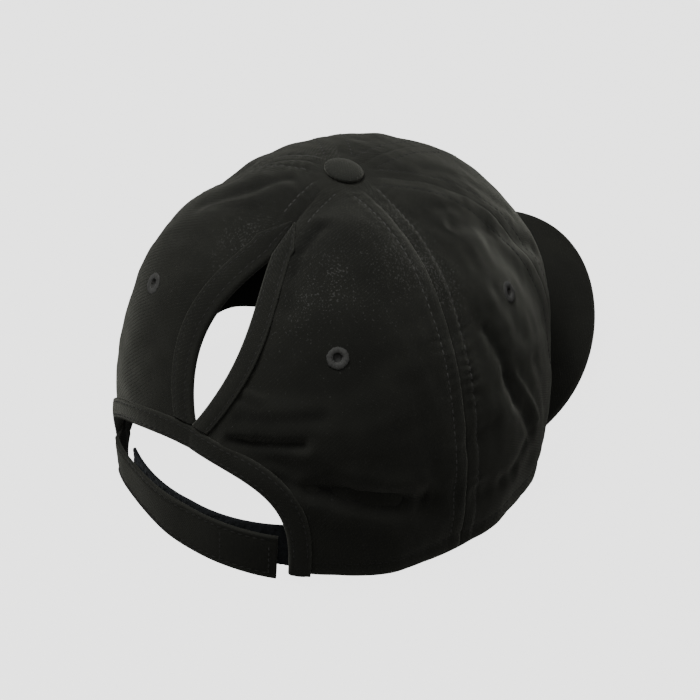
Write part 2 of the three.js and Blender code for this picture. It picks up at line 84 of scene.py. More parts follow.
# Columns: turn, drop, span of turn as a share of the side seam's, span of drop, height
bulges = np.array([
    (146, 0.73, 0.32, 0.15, 4.2),
    (-146, 0.73, 0.32, 0.15, 4.2),
    (-56, 0.54, 0.26, 0.16, 2.1),
    (-146, 0.32, 0.2, 0.1, 0.96),
    (-98, 0.34, 0.3, 0.12, -1.2),
    (103, 0.88, 0.32, 0.12, 2.5),
    (38, 0.7, 0.3, 0.06, 1.5),
])

# Columns: turn and drop at one end, turn and drop at the other, width, depth
folds = np.array([
    (14, 0.755, 38, 0.815, 4.5, 2.1),
    (38, 0.815, 64, 0.89, 5.0, 1.8),
    (64, 0.89, 99, 0.915, 7.0, 0.75),
    (18, 0.735, 30, 0.722, 3.0, 1.2),
    (87, 0.544, 93.8, 0.732, 8.0, 1.5),
    (93.8, 0.732, 102, 0.926, 8.0, 1.2),
    (22, 0.22, 17.5, 0.36, 4.5, 1.2),
    (104, 0.22, 122, 0.36, 6.0, 1.2),
    (117, 0.42, 127, 0.82, 7.0, 2.1),
    (-34, 0.2, -47, 0.36, 5.0, 1.5),
    (-70, 0.3, -92, 0.4, 9.0, 1.8),
    (-117, 0.42, -127, 0.82, 7.0, 2.1),
])

# Small creases that the source leaves to the cloth, in the same columns
creases = np.array([
    (23, 0.81, 32, 0.828, 1.8, 1.2),
    (32, 0.828, 41, 0.836, 2.4, 2.5),
    (41, 0.836, 54.5, 0.864, 3.0, 3.0),
    (54.5, 0.864, 62, 0.874, 3.4, 1.6),
    (62, 0.874, 71, 0.884, 4.0, 0.7),
    (10, 0.755, 29.5, 0.732, 1.6, 1.5),
    (12, 0.704, 33.5, 0.672, 2.4, 0.8),
    (12, 0.64, 18, 0.644, 1.2, -0.5),
    (11, 0.66, 17, 0.665, 1.2, 0.4),
    (89, 0.568, 92, 0.652, 2.2, 0.9),
    (92, 0.652, 93, 0.7, 2.2, 1.1),
    (93, 0.7, 95, 0.78, 2.2, 1.3),
    (95, 0.78, 101, 0.876, 2.4, 1.2),
    (97, 0.72, 104, 0.86, 1.6, -0.7),
    (98, 0.888, 92.5, 0.92, 2.2, 0.9),
    (92.5, 0.92, 86.5, 0.924, 2.2, 0.9),
    (86.5, 0.924, 77, 0.916, 2.4, 0.7),
    (85, 0.788, 75.5, 0.792, 3.5, 0.9),
    (116.5, 0.084, 116.5, 0.188, 3.5, -0.7),
    (116.5, 0.188, 127, 0.316, 3.5, -0.8),
    (127, 0.316, 139.5, 0.5, 3.5, -0.6),
    (105, 0.292, 122.5, 0.404, 3.5, 1.1),
    (122.5, 0.404, 138.5, 0.628, 3.5, 1.0),
    (-75, 0.044, -60.5, 0.256, 3.0, -0.6),
    (-36, 0.12, -33.5, 0.212, 2.0, 0.7),
    (-33.5, 0.212, -46.5, 0.348, 2.4, 0.7),
    (23, 0.212, 16.5, 0.292, 2.2, 1.1),
    (16.5, 0.292, 17.5, 0.352, 2.2, 0.9),
    (17.5, 0.352, 19, 0.44, 2.4, 0.5),
    (84, 0.12, 98, 0.3, 3.0, 0.5),
    (100, 0.5, 104, 0.66, 3.2, 0.5),
    (58, 0.62, 66, 0.86, 4.0, 0.5),
    (112, 0.24, 124, 0.3, 2.4, 0.5),
    (108, 0.74, 113, 0.93, 3.4, 0.6),
    (-22, 0.24, -40, 0.33, 2.5, 0.5),
    (-60, 0.26, -86, 0.33, 2.6, 0.6),
    (-52, 0.66, -66, 0.84, 4.0, 0.6),
    (-84, 0.5, -96, 0.8, 4.0, 0.6),
    (150, 0.2, 142, 0.5, 3.4, 0.5),
    (-150, 0.2, -142, 0.5, 3.4, 0.5),
    (165, 0.6, 158, 0.9, 3.6, 0.5),
    (-165, 0.6, -158, 0.9, 3.6, 0.5),
])


def lerp(a, b, share):
    return a + (b - a) * share


def smooth(x):
    share = np.clip(x, 0, 1)
    return share * share * (3 - 2 * share)


def bell(x):
    return np.exp(-x * x)


def nearTurn(turn):
    return turn - 360 * np.round(turn / 360)


def stacked(*parts):
    return np.stack(np.broadcast_arrays(*parts), -1)


def unit(vectors):
    return vectors / np.linalg.norm(vectors, axis=-1, keepdims=True)


def runAlong(path):
    # the distance along a path at each of its points
    return np.concatenate([[0], np.cumsum(np.linalg.norm(np.diff(path, axis=0), axis=1))])


def sampled(path, run, places):
    return np.stack([np.interp(places, run, column) for column in path.T], 1)


def softNoise(points, size, seed):
    # the mean of nine sine waves that run in fixed random directions, each about one size long
    rng = np.random.default_rng(seed)
    total = 0
    for _ in range(9):
        way = rng.normal(size=3)
        way *= rng.uniform(0.6, 1.5) / np.linalg.norm(way)
        total = total + np.sin(points @ way * 2 * math.pi / size + rng.uniform(0, 6.28))
    return total / 3


def sheetHeight(x, y):
    # the bent sheet of the peak: a parabola across, rising toward the crown
    return (hem["front"] - x * x / (2 * peakShape["bend"])
            + peakShape["forwardRise"] * (y + crown["halfDepth"]) + peakShape["leanLeft"] * x)


def hemHeight(turn):
    # low at the back and sides, and turning into the peak's sheet at the front
    angle = np.abs(turn)
    x = -crown["halfWidth"] * np.sin(turn * degree)
    y = crown["halfDepth"] * np.cos(turn * degree)
    low = lerp(hem["back"], hem["side"], smooth((angle - hem["backTurn"]) / hem["backSpan"]))
    share = smooth((angle - 90) / hem["sheetSpan"])
    lift = hem["lift"] * bell((turn - hem["liftTurn"]) / hem["liftSpan"])
    return np.maximum(hem["rest"], lerp(low, sheetHeight(x, y), share) + lift)


def section(turn, drop):
    # a superellipse from the button to the hem, its fullness blended around the crown
    along = np.cos(turn * degree)
    front = np.maximum(0, -along) ** crown["fullnessFocus"]
    back = np.maximum(0, along) ** crown["fullnessFocus"]
    fullness = (crown["sideFullness"] + (crown["frontFullness"] - crown["sideFullness"]) * front
                + (crown["backFullness"] - crown["sideFullness"]) * back)
    angle = drop * math.pi / 2
    reach = np.sin(angle) ** (2 / fullness)
    rise = np.maximum(0, np.cos(angle)) ** (2 / fullness)
    return fullness, reach, rise


def slotMiddle(drop):
    share = (drop - slotShape["top"]) / (slotShape["foot"] - slotShape["top"])
    return lerp(slotShape["topTurn"], slotShape["footTurn"], np.clip(share, slotShape["rise"], 1))


def turnsPerLength(drop):
    return 1 / (crown["halfDepth"] * section(0.0, drop)[1] * degree)


def slotHalfWidth(drop):
    # opens fast under its top and closes to a point
    share = np.clip((drop - slotShape["top"]) / (slotShape["foot"] - slotShape["top"]), 0, 1)
    sine = np.maximum(0, np.sin(math.pi * share ** slotShape["lowness"]))
    return slotShape["width"] / 2 * sine ** slotShape["roundness"]


def archSpan(way, margin):
    return np.where(way < 0, archShape["left"], archShape["right"]) + margin * turnsPerLength(1.0)


def archTop(turn, margin):
    # a superellipse over the strap, with its own fullness on each side
    offset = turn - archShape["middle"]
    fullness = np.where(offset < 0, archShape["leftFullness"], archShape["rightFullness"])
    share = np.maximum(0, 1 - np.abs(offset / archSpan(offset, margin)) ** fullness)
    return (archShape["height"] + margin) * share ** (1 / fullness)


def alongRows(turn, drop, rows, ridge=0.0):
    # each row sinks the cloth by its depth, in a bell across the nearest point of its line, and
    # raises a share of it on both sides; with ridges, rows that meet run into each other
    spread = crown["halfWidth"] * degree * np.sin(drop * math.pi / 2)
    total = np.zeros(np.broadcast(turn, drop).shape)
    deepest, highest, beside = total, total, total
    for turnA, dropA, turnB, dropB, width, depth in rows:
        runX, runY = (turnB - turnA) * spread, (dropB - dropA) * crown["meridian"]
        hereX, hereY = (turn - turnA) * spread, (drop - dropA) * crown["meridian"]
        share = np.clip((hereX * runX + hereY * runY) / (runX ** 2 + runY ** 2), 0, 1)
        distance = np.hypot(hereX - share * runX, hereY - share * runY)
        sunk = depth * bell(distance / width)
        total = total - sunk
        deepest, highest = np.maximum(deepest, sunk), np.maximum(highest, -sunk)
        away = (distance - crown["ridgeAway"] * width) / (crown["ridgeWidth"] * width)
        beside = np.maximum(beside, depth * bell(away))
    return highest - deepest + ridge * beside if ridge else total


def relief(turn, drop):
    # puffed back panels, swellings and folds
    wrapped = nearTurn(turn)
    middle = slotMiddle(drop)
    seam = np.where(wrapped > middle, crown["sideSeam"], -crown["sideSeam"])
    across = np.sin(math.pi * np.minimum(1, (wrapped - middle) / (seam - middle)))
    height = np.maximum(0, np.sin(math.pi * drop ** crown["puffLift"]))
    under = smooth((drop - crown["puffTop"]) / crown["puffSpan"])
    puff = crown["puff"] * np.maximum(0, across) * under * height ** crown["puffLift"]
    swell = np.zeros(np.broadcast(turn, drop).shape)
    for bulgeTurn, bulgeDrop, turnSpan, dropSpan, rise in bulges:
        sideways = nearTurn(wrapped - bulgeTurn) / (turnSpan * crown["sideSeam"])
        swell = swell + rise * bell(np.hypot(sideways, (drop - bulgeDrop) / dropSpan))
    fade = smooth((1 - drop) / crown["hemFade"])
    return puff + fade * (swell + alongRows(wrapped, drop, folds))


def crownPoint(turn, drop, out):
    # superellipse section around the button, moved outward by relief and out
    _, reach, rise = section(turn, drop)
    sine, cosine = np.sin(turn * degree), np.cos(turn * degree)
    low = hemHeight(nearTurn(turn))
    radius = reach * crown["halfWidth"]
    slope = crown["apexSlope"] * radius * np.cos((turn - crown["apexTurn"]) * degree)
    base = stacked(
        -crown["halfWidth"] * reach * sine + crown["apexLeft"] * (1 - reach),
        crown["halfDepth"] * reach * cosine + crown["apexBack"] * (1 - reach),
        low + (crown["height"] - low) * rise - slope * bell(radius / crown["apexReach"]))
    outward = unit(stacked(-sine * reach, cosine * reach, rise))
    return base + outward * (relief(turn, drop) + out)[..., None]


def skinPoint(turn, drop):
    return crownPoint(turn, drop, 0)


def dropAtHeight(turn, height):
    low = hemHeight(turn)
    share = np.clip((height - low) / (crown["height"] - low), 0, 1)
    return np.arccos(share ** (section(turn, 1.0)[0] / 2)) * 2 / math.pi


def wallPoint(turn, height, out):
    # a point of the low wall at an exact height, also below the hem
    points = crownPoint(turn, dropAtHeight(turn, height), out)
    points[..., 2] = height
    return points


# Crown panels. Shares are of the creases' depth, and the wear's rows are of strength, distance
# from a seam and width. Paler fold ridges are a painted highlight, and darker creases painted
# shade.
panel = {
    "columns": 120, "rows": 180, "frontColumns": 100, "frontRows": 150, "crowding": 1.15,
    "overlap": 0.12, "slotGap": 0.3, "underBinding": 1.2, "holeRadius": 2.1, "backCentre": 37,
    "edgeRound": 0.7, "edgeRow": 0.01, "ridgeShare": 0.3, "foldShare": 0.35, "ridgeHighlight": 1.1,
    "ridgeHighlightMost": 0.6, "creaseShadeDepth": 2.4, "hemWear": 1.2,
    "seamWear": ((0.7, 6.0, 1.4), (0.6, 1.2, 0.8)),
}

# Sewing that shows in the crown's surface
sewing = {
    "bandHalf": 6.0, "bandRise": 0.3, "bandEdge": 0.9, "valley": 0.34, "valleyWidth": 0.9,
    "stitchDent": 0.4, "stitchWidth": 0.8, "puckerSize": 4.2, "puckerRise": 0.2,
    "puckerReach": 4.5, "puckerSway": 2.2, "puckerSwaySize": 19.0, "puckerPatch": 30.0,
    "wrinkle": 0.4, "wrinkleSize": 34.0, "ripple": 0.12, "rippleSize": 11.0, "hemRow": 3.2,
    "slotShow": 0.6, "slotAbove": 0.06, "slotFade": 0.05, "calm": 7.0,
    "fromDrop": 0.075, "toDrop": 0.985, "topToDrop": 0.2, "hemFrom": 32.5, "hemTo": 305.5,
    "turnStep": 0.5, "dropStep": 0.005,
}
seamTurns = (-crown["frontSeam"], -crown["sideSeam"], crown["sideSeam"], crown["frontSeam"], 180.0)
seamShow = (0.3, 1.0, 1.0, 0.3, 0.3)


def seamDistance(turn, drop, seam):
    return nearTurn(turn - seam) / turnsPerLength(drop)


def sewnRelief(turn, drop):
    # bands of doubled cloth beside each seam, a valley on it, dents at the stitch rows, and puckers
    wrapped = nearTurn(turn)
    spot = crownPoint(turn, drop, 0)
    length = drop * crown["meridian"]
    total = sewing["wrinkle"] * softNoise(spot, sewing["wrinkleSize"], 3)
    total = total + sewing["ripple"] * softNoise(spot, sewing["rippleSize"], 4)
    total = total + alongRows(wrapped, drop, creases, panel["ridgeShare"])
    middleSeam = (wrapped - slotMiddle(drop)) / turnsPerLength(drop)
    above = 1 - smooth((drop - slotShape["top"] + sewing["slotAbove"]) / sewing["slotFade"])
    for number, seam in enumerate((*seamTurns, None)):
        away = np.abs(middleSeam if seam is None else seamDistance(turn, drop, seam))
        share = sewing["slotShow"] * above if seam is None else seamShow[number]
        beyond = away - sewing["bandHalf"]
        band = sewing["bandRise"] * (1 - smooth(beyond / sewing["bandEdge"]))
        valley = sewing["valley"] * bell(away / sewing["valleyWidth"])
        dent = sewing["stitchDent"] * bell(beyond / sewing["stitchWidth"])
        sway = sewing["puckerSway"] * softNoise(spot, sewing["puckerSwaySize"], 20 + number)
        pucker = np.sin(2 * math.pi * length / sewing["puckerSize"] + sway)
        pucker = pucker * softNoise(spot, sewing["puckerPatch"], 40 + number)
        pucker = sewing["puckerRise"] * pucker * bell(beyond / sewing["puckerReach"])
        total = total + share * (band - valley - dent + pucker)
    row = (1 - drop) * crown["meridian"] - sewing["hemRow"]
    total = total - sewing["stitchDent"] * bell(row / sewing["stitchWidth"])
    # calm under the button, where the panels meet
    return total * smooth((length - sewing["calm"]) / sewing["calm"])


def sewnPoint(turn, drop, out):
    return crownPoint(turn, drop, sewnRelief(turn, drop) + out)


# The source stands the group over the middle of its box, and this is the same move
shift = np.array([0, cadBounds[0].y / millimetre + crown["halfDepth"] + peakShape["length"], 0])


def shares(count, edge=0.0):
    # even shares, with three close ones at the far end where it has an edge to round
    close = np.array([0.12, 0.35, 0.7])
    return np.unique(np.concatenate([np.linspace(0, 1, count), 1 - close * edge]))


def roundedOff(distance, radius):
    # how far a rounded edge of that radius falls back at a distance from the edge
    near = np.clip(1 - distance / radius, 0, 1)
    return radius * (1 - np.sqrt(np.maximum(0, 1 - near ** 2)))


def shellFaces(keep):
    # quads of both layers where keep is true, and walls wherever a kept cell meets a cut one
    columns, rows = keep.shape[0] + 1, keep.shape[1] + 1
    layer = columns * rows
    i, j = np.nonzero(keep)
    a = i * rows + j
    outer = np.stack([a, a + rows, a + rows + 1, a + 1], 1)
    faces = [outer, outer[:, ::-1] + layer]
    padded = np.pad(keep, 1)
    for step, near, far in (
        (1, padded[:-1, 1:-1], padded[1:, 1:-1]),
        (rows, padded[1:-1, :-1], padded[1:-1, 1:]),
    ):
        for leaving, edge in ((True, near & ~far), (False, far & ~near)):
            p, q = np.nonzero(edge)
            start = p * rows + q
            end = start + step
            walls = np.stack([start, end, end + layer, start + layer], 1)
            faces.append(walls[:, ::-1] if leaving == (step == 1) else walls)
    return np.concatenate(faces)


def addObject(name, data):
    added = bpy.data.objects.new(name, data)
    bpy.context.scene.collection.objects.link(added)
    return added


def meshPiece(name, points, faces, uv=None):
    mesh = bpy.data.meshes.new(name)
    places = (np.asarray(points).reshape(-1, 3) + shift) * millimetre
    faces = np.asarray(faces)
    mesh.vertices.add(len(places))
    mesh.vertices.foreach_set("co", places.astype(np.float32).ravel())
    mesh.loops.add(faces.size)
    mesh.loops.foreach_set("vertex_index", faces.astype(np.int32).ravel())
    mesh.polygons.add(len(faces))
    starts = np.arange(0, faces.size, faces.shape[1], dtype=np.int32)
    mesh.polygons.foreach_set("loop_start", starts)
    if uv is not None:
        layer = mesh.uv_layers.new(name="weave")
        layer.data.foreach_set("uv", uv.reshape(-1, 2)[faces.ravel()].astype(np.float32).ravel())
    mesh.polygons.foreach_set("use_smooth", np.ones(len(faces), bool))
    mesh.update(calc_edges=True)
    return pointOut(addObject(name, mesh))


def signedVolume(piece):
    mesh = piece.data
    mesh.calc_loop_triangles()
    corners = np.empty(len(mesh.loop_triangles) * 3, np.int32)
    mesh.loop_triangles.foreach_get("vertices", corners)
    places = np.empty(len(mesh.vertices) * 3, np.float32)
    mesh.vertices.foreach_get("co", places)
    a, b, c = places.reshape(-1, 3)[corners.reshape(-1, 3)].transpose(1, 0, 2).astype(float)
    return float(np.einsum("ij,ij->i", a, np.cross(b, c)).sum() / 6)


def pointOut(piece):
    if signedVolume(piece) < 0:
        piece.data.flip_normals()
    return piece


def shell(name, outer, inner, uv, keep=None):
    # a closed skin between two grids of points that share their rows and columns
    columns, rows = outer.shape[:2]
    if keep is None:
        keep = np.ones((columns - 1, rows - 1), bool)
    points = np.concatenate([outer.reshape(-1, 3), inner.reshape(-1, 3)])
    both = np.concatenate([uv.reshape(-1, 2), uv.reshape(-1, 2)])
    return meshPiece(name, points, shellFaces(keep), both)


def sweep(name, profile, place, steps):
    # a closed profile of (across, out) points carried along a path, with flat caps at its ends
    profile = np.asarray(profile, float)
    count = len(profile)
    along = np.linspace(0, 1, steps)[:, None]
    points = place(profile[None, :, 0], profile[None, :, 1], along)
    gaps = np.linalg.norm(np.roll(points, -1, 1) - points, axis=-1).mean(0)
    around = np.concatenate([[0], np.cumsum(gaps)[:-1]])
    uv = stacked(runAlong(points.mean(1))[:, None], around[None, :])
    i, j = np.meshgrid(np.arange(steps - 1), np.arange(count), indexing="ij")
    a, b = i * count + j, i * count + (j + 1) % count
    sides = np.stack([a, a + count, b + count, b], -1).reshape(-1, 4)
    # the caps join opposite points of the profile, two by two
    half = np.arange(count // 2 - 1)
    cap = np.stack([half, half + 1, count - 2 - half, count - 1 - half], 1)
    end = (steps - 1) * count
    faces = np.concatenate([sides, cap, cap[:, ::-1] + end])
    return meshPiece(name, points, faces, uv)


def bandPath(corners, thick, count=16):
    # points along a path of (across, out) corners, close together at its two ends
    corners = np.asarray(corners, float)
    run = runAlong(corners)
    near = thick / 2 * np.array([0, 0.05, 0.2, 0.45, 0.75])
    places = np.unique(np.concatenate([near, np.linspace(thick / 2, run[-1] - thick / 2, count),
                                       run[-1] - near, run[1:-1]]))
    return sampled(corners, run, places)


def bandProfile(path, thick):
    # both faces of a band that follows the path, thinning out where it ends
    way = unit(np.gradient(path, axis=0))
    normal = np.stack([-way[:, 1], way[:, 0]], 1)
    run = runAlong(path)
    end = np.clip(1 - np.minimum(run, run[-1] - run) / (thick / 2), 0, 0.97)
    half = (thick / 2 * np.sqrt(1 - end ** 2))[:, None]
    return np.concatenate([path + normal * half, (path - normal * half)[::-1]])


def flatBand(low, high, thick, out, count=16):
    return bandProfile(bandPath([(low, out), (high, out)], thick, count), thick)


def wrappedBand(width, thick, out, lining):
    # a band that lies on the cloth, turns over its edge and ends inside
    middle = -crown["cloth"] / 2
    radius = out - middle
    turns = np.linspace(math.pi / 2, -math.pi / 2, 9)
    edge = np.stack([radius * 0.8 - radius * np.cos(turns), middle + radius * np.sin(turns)], 1)
    corners = np.concatenate([[(width, out)], edge, [(lining, 2 * middle - out)]])
    return bandProfile(bandPath(corners, thick, 26), thick)


def markPoints(piece, name, values):
    layer = piece.data.attributes.new(name, "FLOAT", "POINT")
    layer.data.foreach_set("value", np.asarray(values, np.float32).ravel())


def join(points, faces):
    # many copies of one small shape as a single list of points and faces
    copies, corners = points.shape[:2]
    offsets = (np.arange(copies) * corners)[:, None, None]
    return points.reshape(-1, 3), (faces[None] + offsets).reshape(-1, faces.shape[1])


thread = {"length": 2.5, "pitch": 3.1, "width": 0.56, "sunk": 0.12, "look": 0.4}


def stitchShape():
    # six-sided and spindle-shaped, with ends that dip under the cloth
    x = np.array([-1.0, -0.7, 0.0, 0.7, 1.0])
    girth = np.array([0.35, 0.9, 1.0, 0.9, 0.35])
    lift = np.array([-0.9, 0.05, 0.3, 0.05, -0.9])
    turns = np.arange(6) * math.pi / 3
    points = stacked(x[:, None], girth[:, None] * np.cos(turns),
                     girth[:, None] * np.sin(turns) + lift[:, None])
    i, j = np.meshgrid(np.arange(4), np.arange(6), indexing="ij")
    a, b = i * 6 + j, i * 6 + (j + 1) % 6
    sides = np.stack([a, a + 6, b + 6, b], -1).reshape(-1, 4)
    ends = np.array([[0, 1, 2, 3], [0, 3, 4, 5], [27, 26, 25, 24], [29, 28, 27, 24]])
    return points.reshape(-1, 3), np.concatenate([sides, ends])


def stitchRow(path, outward):
    # one stitch every pitch along a path of points
    run = runAlong(path)
    count = int((run[-1] - thread["length"]) // thread["pitch"]) + 1
    places = thread["length"] / 2 + np.arange(count) * thread["pitch"]
    at = sampled(path, run, places)
    way = unit(sampled(path, run, places + thread["look"])
               - sampled(path, run, places - thread["look"]))
    side = unit(np.cross(sampled(outward, run, places), way))
    up = np.cross(way, side)
    shape, faces = stitchShape()
    half = thread["width"] / 2
    points = (at[:, None] - up[:, None] * thread["sunk"]
              + shape[None, :, 0, None] * thread["length"] / 2 * way[:, None]
              + shape[None, :, 1, None] * half * side[:, None]
              + shape[None, :, 2, None] * half * up[:, None])
    return points, faces


def outwardAt(pointAt, a, b, stepA, stepB):
    # the surface's normal, from two small moves across it, turned away from the crown's inside
    moveA = pointAt(a + stepA, b) - pointAt(a - stepA, b)
    moveB = pointAt(a, b + stepB) - pointAt(a, b - stepB)
    normal = unit(np.cross(moveA, moveB))
    away = pointAt(a, b) - np.array([0, 0, crown["heart"]])
    return normal * np.sign((normal * away).sum(-1, keepdims=True))


def rowsAlong(pointAt, rows, along, steps, side=1):
    # rows of stitches along a band, each at its own place across, with the way that they face
    paths = []
    for row in rows:
        across = np.full_like(along, row)
        paths.append((pointAt(across, along), side * outwardAt(pointAt, across, along, *steps)))
    return paths


def sewRows(name, rows, material):
    points, faces = zip(*(stitchRow(path, outward) for path, outward in rows))
    places, quads = join(np.concatenate(points), faces[0])
    finishPiece(meshPiece(name, places, quads), material, None)


# Operators that put their own signal first, or last
def forward(operation):
    return lambda self, other: self.work(operation, self, other)


def backward(operation):
    return lambda self, other: self.work(operation, other, self)


class Signal:
    # one socket of a material, which the usual operators work on
    def __init__(self, finish, socket):
        self.finish = finish
        self.socket = socket

    def work(self, operation, *values):
        node = self.finish.node("ShaderNodeMath", {"operation": operation}, dict(enumerate(values)))
        return Signal(self.finish, node.outputs[0])

    __add__, __radd__ = forward("ADD"), backward("ADD")
    __mul__, __rmul__ = forward("MULTIPLY"), backward("MULTIPLY")
    __rsub__, __truediv__ = backward("SUBTRACT"), forward("DIVIDE")
    __mod__, __gt__ = forward("FLOORED_MODULO"), forward("GREATER_THAN")

    def sine(self):
        return self.work("SINE", self)

    def floor(self):
        return self.work("FLOOR", self)

    def part(self):
        return self.work("FRACT", self)

    def between(self, low, high):
        node = self.finish.node("ShaderNodeMapRange", {"interpolation_type": "SMOOTHSTEP"},
                                {"Value": self, "From Min": low, "From Max": high})
        return Signal(self.finish, node.outputs["Result"])


class Finish:
    # a material under construction, with one method for every node
    def __init__(self, name):
        self.material = bpy.data.materials.new(name)
        self.material.use_nodes = True
        self.tree = self.material.node_tree
        self.tree.nodes.clear()
        self.shader = self.node("ShaderNodeBsdfPrincipled")
        end = self.node("ShaderNodeOutputMaterial")
        self.tree.links.new(self.shader.outputs[0], end.inputs["Surface"])

    def node(self, kind, settings={}, sockets={}):
        node = self.tree.nodes.new(kind)
        for name, value in settings.items():
            setattr(node, name, value)
        for name, value in sockets.items():
            self.feed(node.inputs[name], value)
        return node

    def feed(self, socket, value):
        if isinstance(value, Signal):
            value = value.socket
        if isinstance(value, bpy.types.NodeSocket):
            self.tree.links.new(value, socket)
        else:
            socket.default_value = value

    def place(self):
        return self.node("ShaderNodeTexCoord").outputs["Object"]

    def weaveAxes(self):
        # the piece's own flat coordinates, in millimetres
        flat = self.node("ShaderNodeUVMap", {"uv_map": "weave"})
        axes = self.node("ShaderNodeSeparateXYZ", {}, {0: flat.outputs[0]})
        return Signal(self, axes.outputs[0]), Signal(self, axes.outputs[1])

    def noise(self, size, detail=2.0):
        # size is in millimetres
        node = self.node("ShaderNodeTexNoise", {}, {
            "Vector": self.place(), "Scale": 1 / (size * millimetre), "Detail": detail})
        return Signal(self, node.outputs[0])

    def marked(self, name):
        node = self.node("ShaderNodeAttribute", {"attribute_name": name})
        return Signal(self, node.outputs["Fac"])

    def mix(self, first, second, share):
        # a colour is three numbers or another mix
        first, second = ((*colour, 1) if isinstance(colour, tuple) else colour
                         for colour in (first, second))
        node = self.node("ShaderNodeMix", {"data_type": "RGBA"}, {0: share, 6: first, 7: second})
        return node.outputs[2]

    def bump(self, height, depth, before=None):
        sockets = {"Height": height, "Distance": depth * millimetre, "Strength": 1.0}
        if before is not None:
            sockets["Normal"] = before
        return self.node("ShaderNodeBump", {}, sockets).outputs[0]

    def dress(self, sockets):
        for name, value in sockets.items():
            self.feed(self.shader.inputs[name], value)
        return self.material


def twillWeave(across, along, pitch, slant=1):
    # two up, one down: each row of yarns starts its floats one yarn further over
    warp, weft = across / pitch, along / pitch
    over = (warp.floor() * slant + weft.floor()) % 3 > 0.5
    warpRound = (warp.part() * math.pi).sine()
    weftRound = (weft.part() * math.pi).sine()
    return over * warpRound + (1 - over) * weftRound * 0.75


def clothFinish(name, look):
    # black twill: woven relief, uneven dye, dusty fibres, lint, paler worn edges, paler fold ridges
    # as a painted highlight and darker creases as painted shade
    finish = Finish(name)
    across, along = finish.weaveAxes()
    drift = finish.noise(14.0) * 0.7
    weave = twillWeave(across + drift, along + drift, look["pitch"], look.get("slant", 1))
    fuzz = finish.noise(0.55, 3.0)
    patches = finish.noise(26.0, 3.0).between(0.3, 0.7)
    lintFrom = look["lintFrom"] - 0.13 * finish.marked("fluff") * (0.35 + patches)
    lint = finish.noise(0.75, 2.0).between(lintFrom, lintFrom + 0.05)
    deepest = tuple(look["creaseShade"] * value for value in look["dark"])
    body = finish.mix(look["dark"], look["light"], patches * 0.6 + weave * 0.16 + fuzz * 0.3)
    # the worn colour for wear, which on the panels also paints a highlight on the fold ridges
    worn = finish.mix(body, look["worn"], finish.marked("wear") * look["wear"] * fuzz)
    # painted shade: the creases darken toward a darker copy of the dark colour, by the sunk mask
    creaseShade = finish.mix(worn, deepest, finish.marked("sunk") * look["creaseShadeShare"])
    linted = finish.mix(creaseShade, look["lint"], lint * look["lintShare"])
    coarse = finish.bump(finish.noise(2.4, 3.0), look["unevenness"])
    normal = finish.bump(weave + fuzz * 0.8, look["weaveDepth"], coarse)
    return finish.dress({
        "Base Color": linted, "Roughness": 0.82 + fuzz * 0.14, "Normal": normal,
        "Specular IOR Level": look["gloss"], "Sheen Weight": look["sheen"],
        "Sheen Roughness": 0.42, "Sheen Tint": (*look["sheenTint"], 1),
    })


def pileFinish(name, look):
    # napped loop tape: short curly fibres with no weave showing
    finish = Finish(name)
    curl = finish.noise(0.7, 4.0)
    tuft = finish.noise(2.2, 2.0).between(0.3, 0.75)
    colour = finish.mix(look["dark"], look["light"], curl * 0.7 + tuft * 0.4)
    normal = finish.bump(curl + tuft * 0.6, look["depth"])
    return finish.dress({
        "Base Color": colour, "Roughness": 0.88 + curl * 0.1, "Normal": normal,
        "Specular IOR Level": 0.2, "Sheen Weight": look["sheen"], "Sheen Roughness": 0.5,
        "Sheen Tint": (*look["sheenTint"], 1),
    })


def threadFinish(name, look):
    # twisted thread: fine ridges across its run, with a slight gloss
    finish = Finish(name)
    twist = finish.noise(0.35, 2.0)
    colour = finish.mix(look["dark"], look["light"], twist)
    return finish.dress({
        "Base Color": colour, "Roughness": 0.55 + twist * 0.2, "Normal": finish.bump(twist, 0.08),
        "Specular IOR Level": look["gloss"], "Sheen Weight": 0.15,
    })


# black cloth; its last two values set the painted shade in the creases
black = {
    "dark": (0.0088, 0.0091, 0.0074), "light": (0.0172, 0.0177, 0.0144),
    "worn": (0.040, 0.041, 0.035), "wear": 0.6, "lint": (0.12, 0.12, 0.115), "lintShare": 0.28,
    "lintFrom": 0.7, "pitch": 0.62, "weaveDepth": 0.08, "unevenness": 0.07, "gloss": 0.2,
    "sheen": 0.24, "sheenTint": (0.86, 0.87, 0.76), "creaseShade": 0.3, "creaseShadeShare": 0.75,
}
panelTwill = clothFinish("panel_twill", black)
trimTwill = clothFinish("trim_twill", {**black, "pitch": 0.55, "slant": -1, "wear": 0.7})
strapTwill = clothFinish("strap_twill", {**black, "pitch": 0.55, "sheen": 0.16})
peakTwill = clothFinish("peak_twill", {**black, "sheen": 0.12, "lintShare": 0.15})
# painted highlight: the button's cloth has a paler light colour than the panels' for its lit top
buttonHighlightTwill = clothFinish("button_twill", {**black, "pitch": 0.5, "sheen": 0.34,
                                           "light": (0.026, 0.027, 0.023)})
bandTwill = clothFinish("sweatband_twill", {**black, "pitch": 0.5, "sheen": 0.12})
loopPile = pileFinish("loop_pile", {"dark": (0.006, 0.0068, 0.0075), "light": (0.016, 0.018, 0.020),
                                    "depth": 0.35, "sheen": 0.1, "sheenTint": (0.75, 0.8, 0.84)})
blackThread = threadFinish("black_thread", {"dark": (0.016, 0.016, 0.0145),
                                            "light": (0.062, 0.062, 0.057), "gloss": 0.4})
darkThread = threadFinish("dark_thread", {"dark": (0.008, 0.008, 0.007),
                                          "light": (0.024, 0.024, 0.021), "gloss": 0.25})
eyeletThread = threadFinish("eyelet_thread", {"dark": (0.02, 0.02, 0.0185),
                                              "light": (0.066, 0.066, 0.061), "gloss": 0.4})
print("materials ready")


def finishPiece(piece, material, slot, *nodes):
    piece.data.materials.append(material)
    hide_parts(*nodes)
    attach(piece, "root")
    return piece


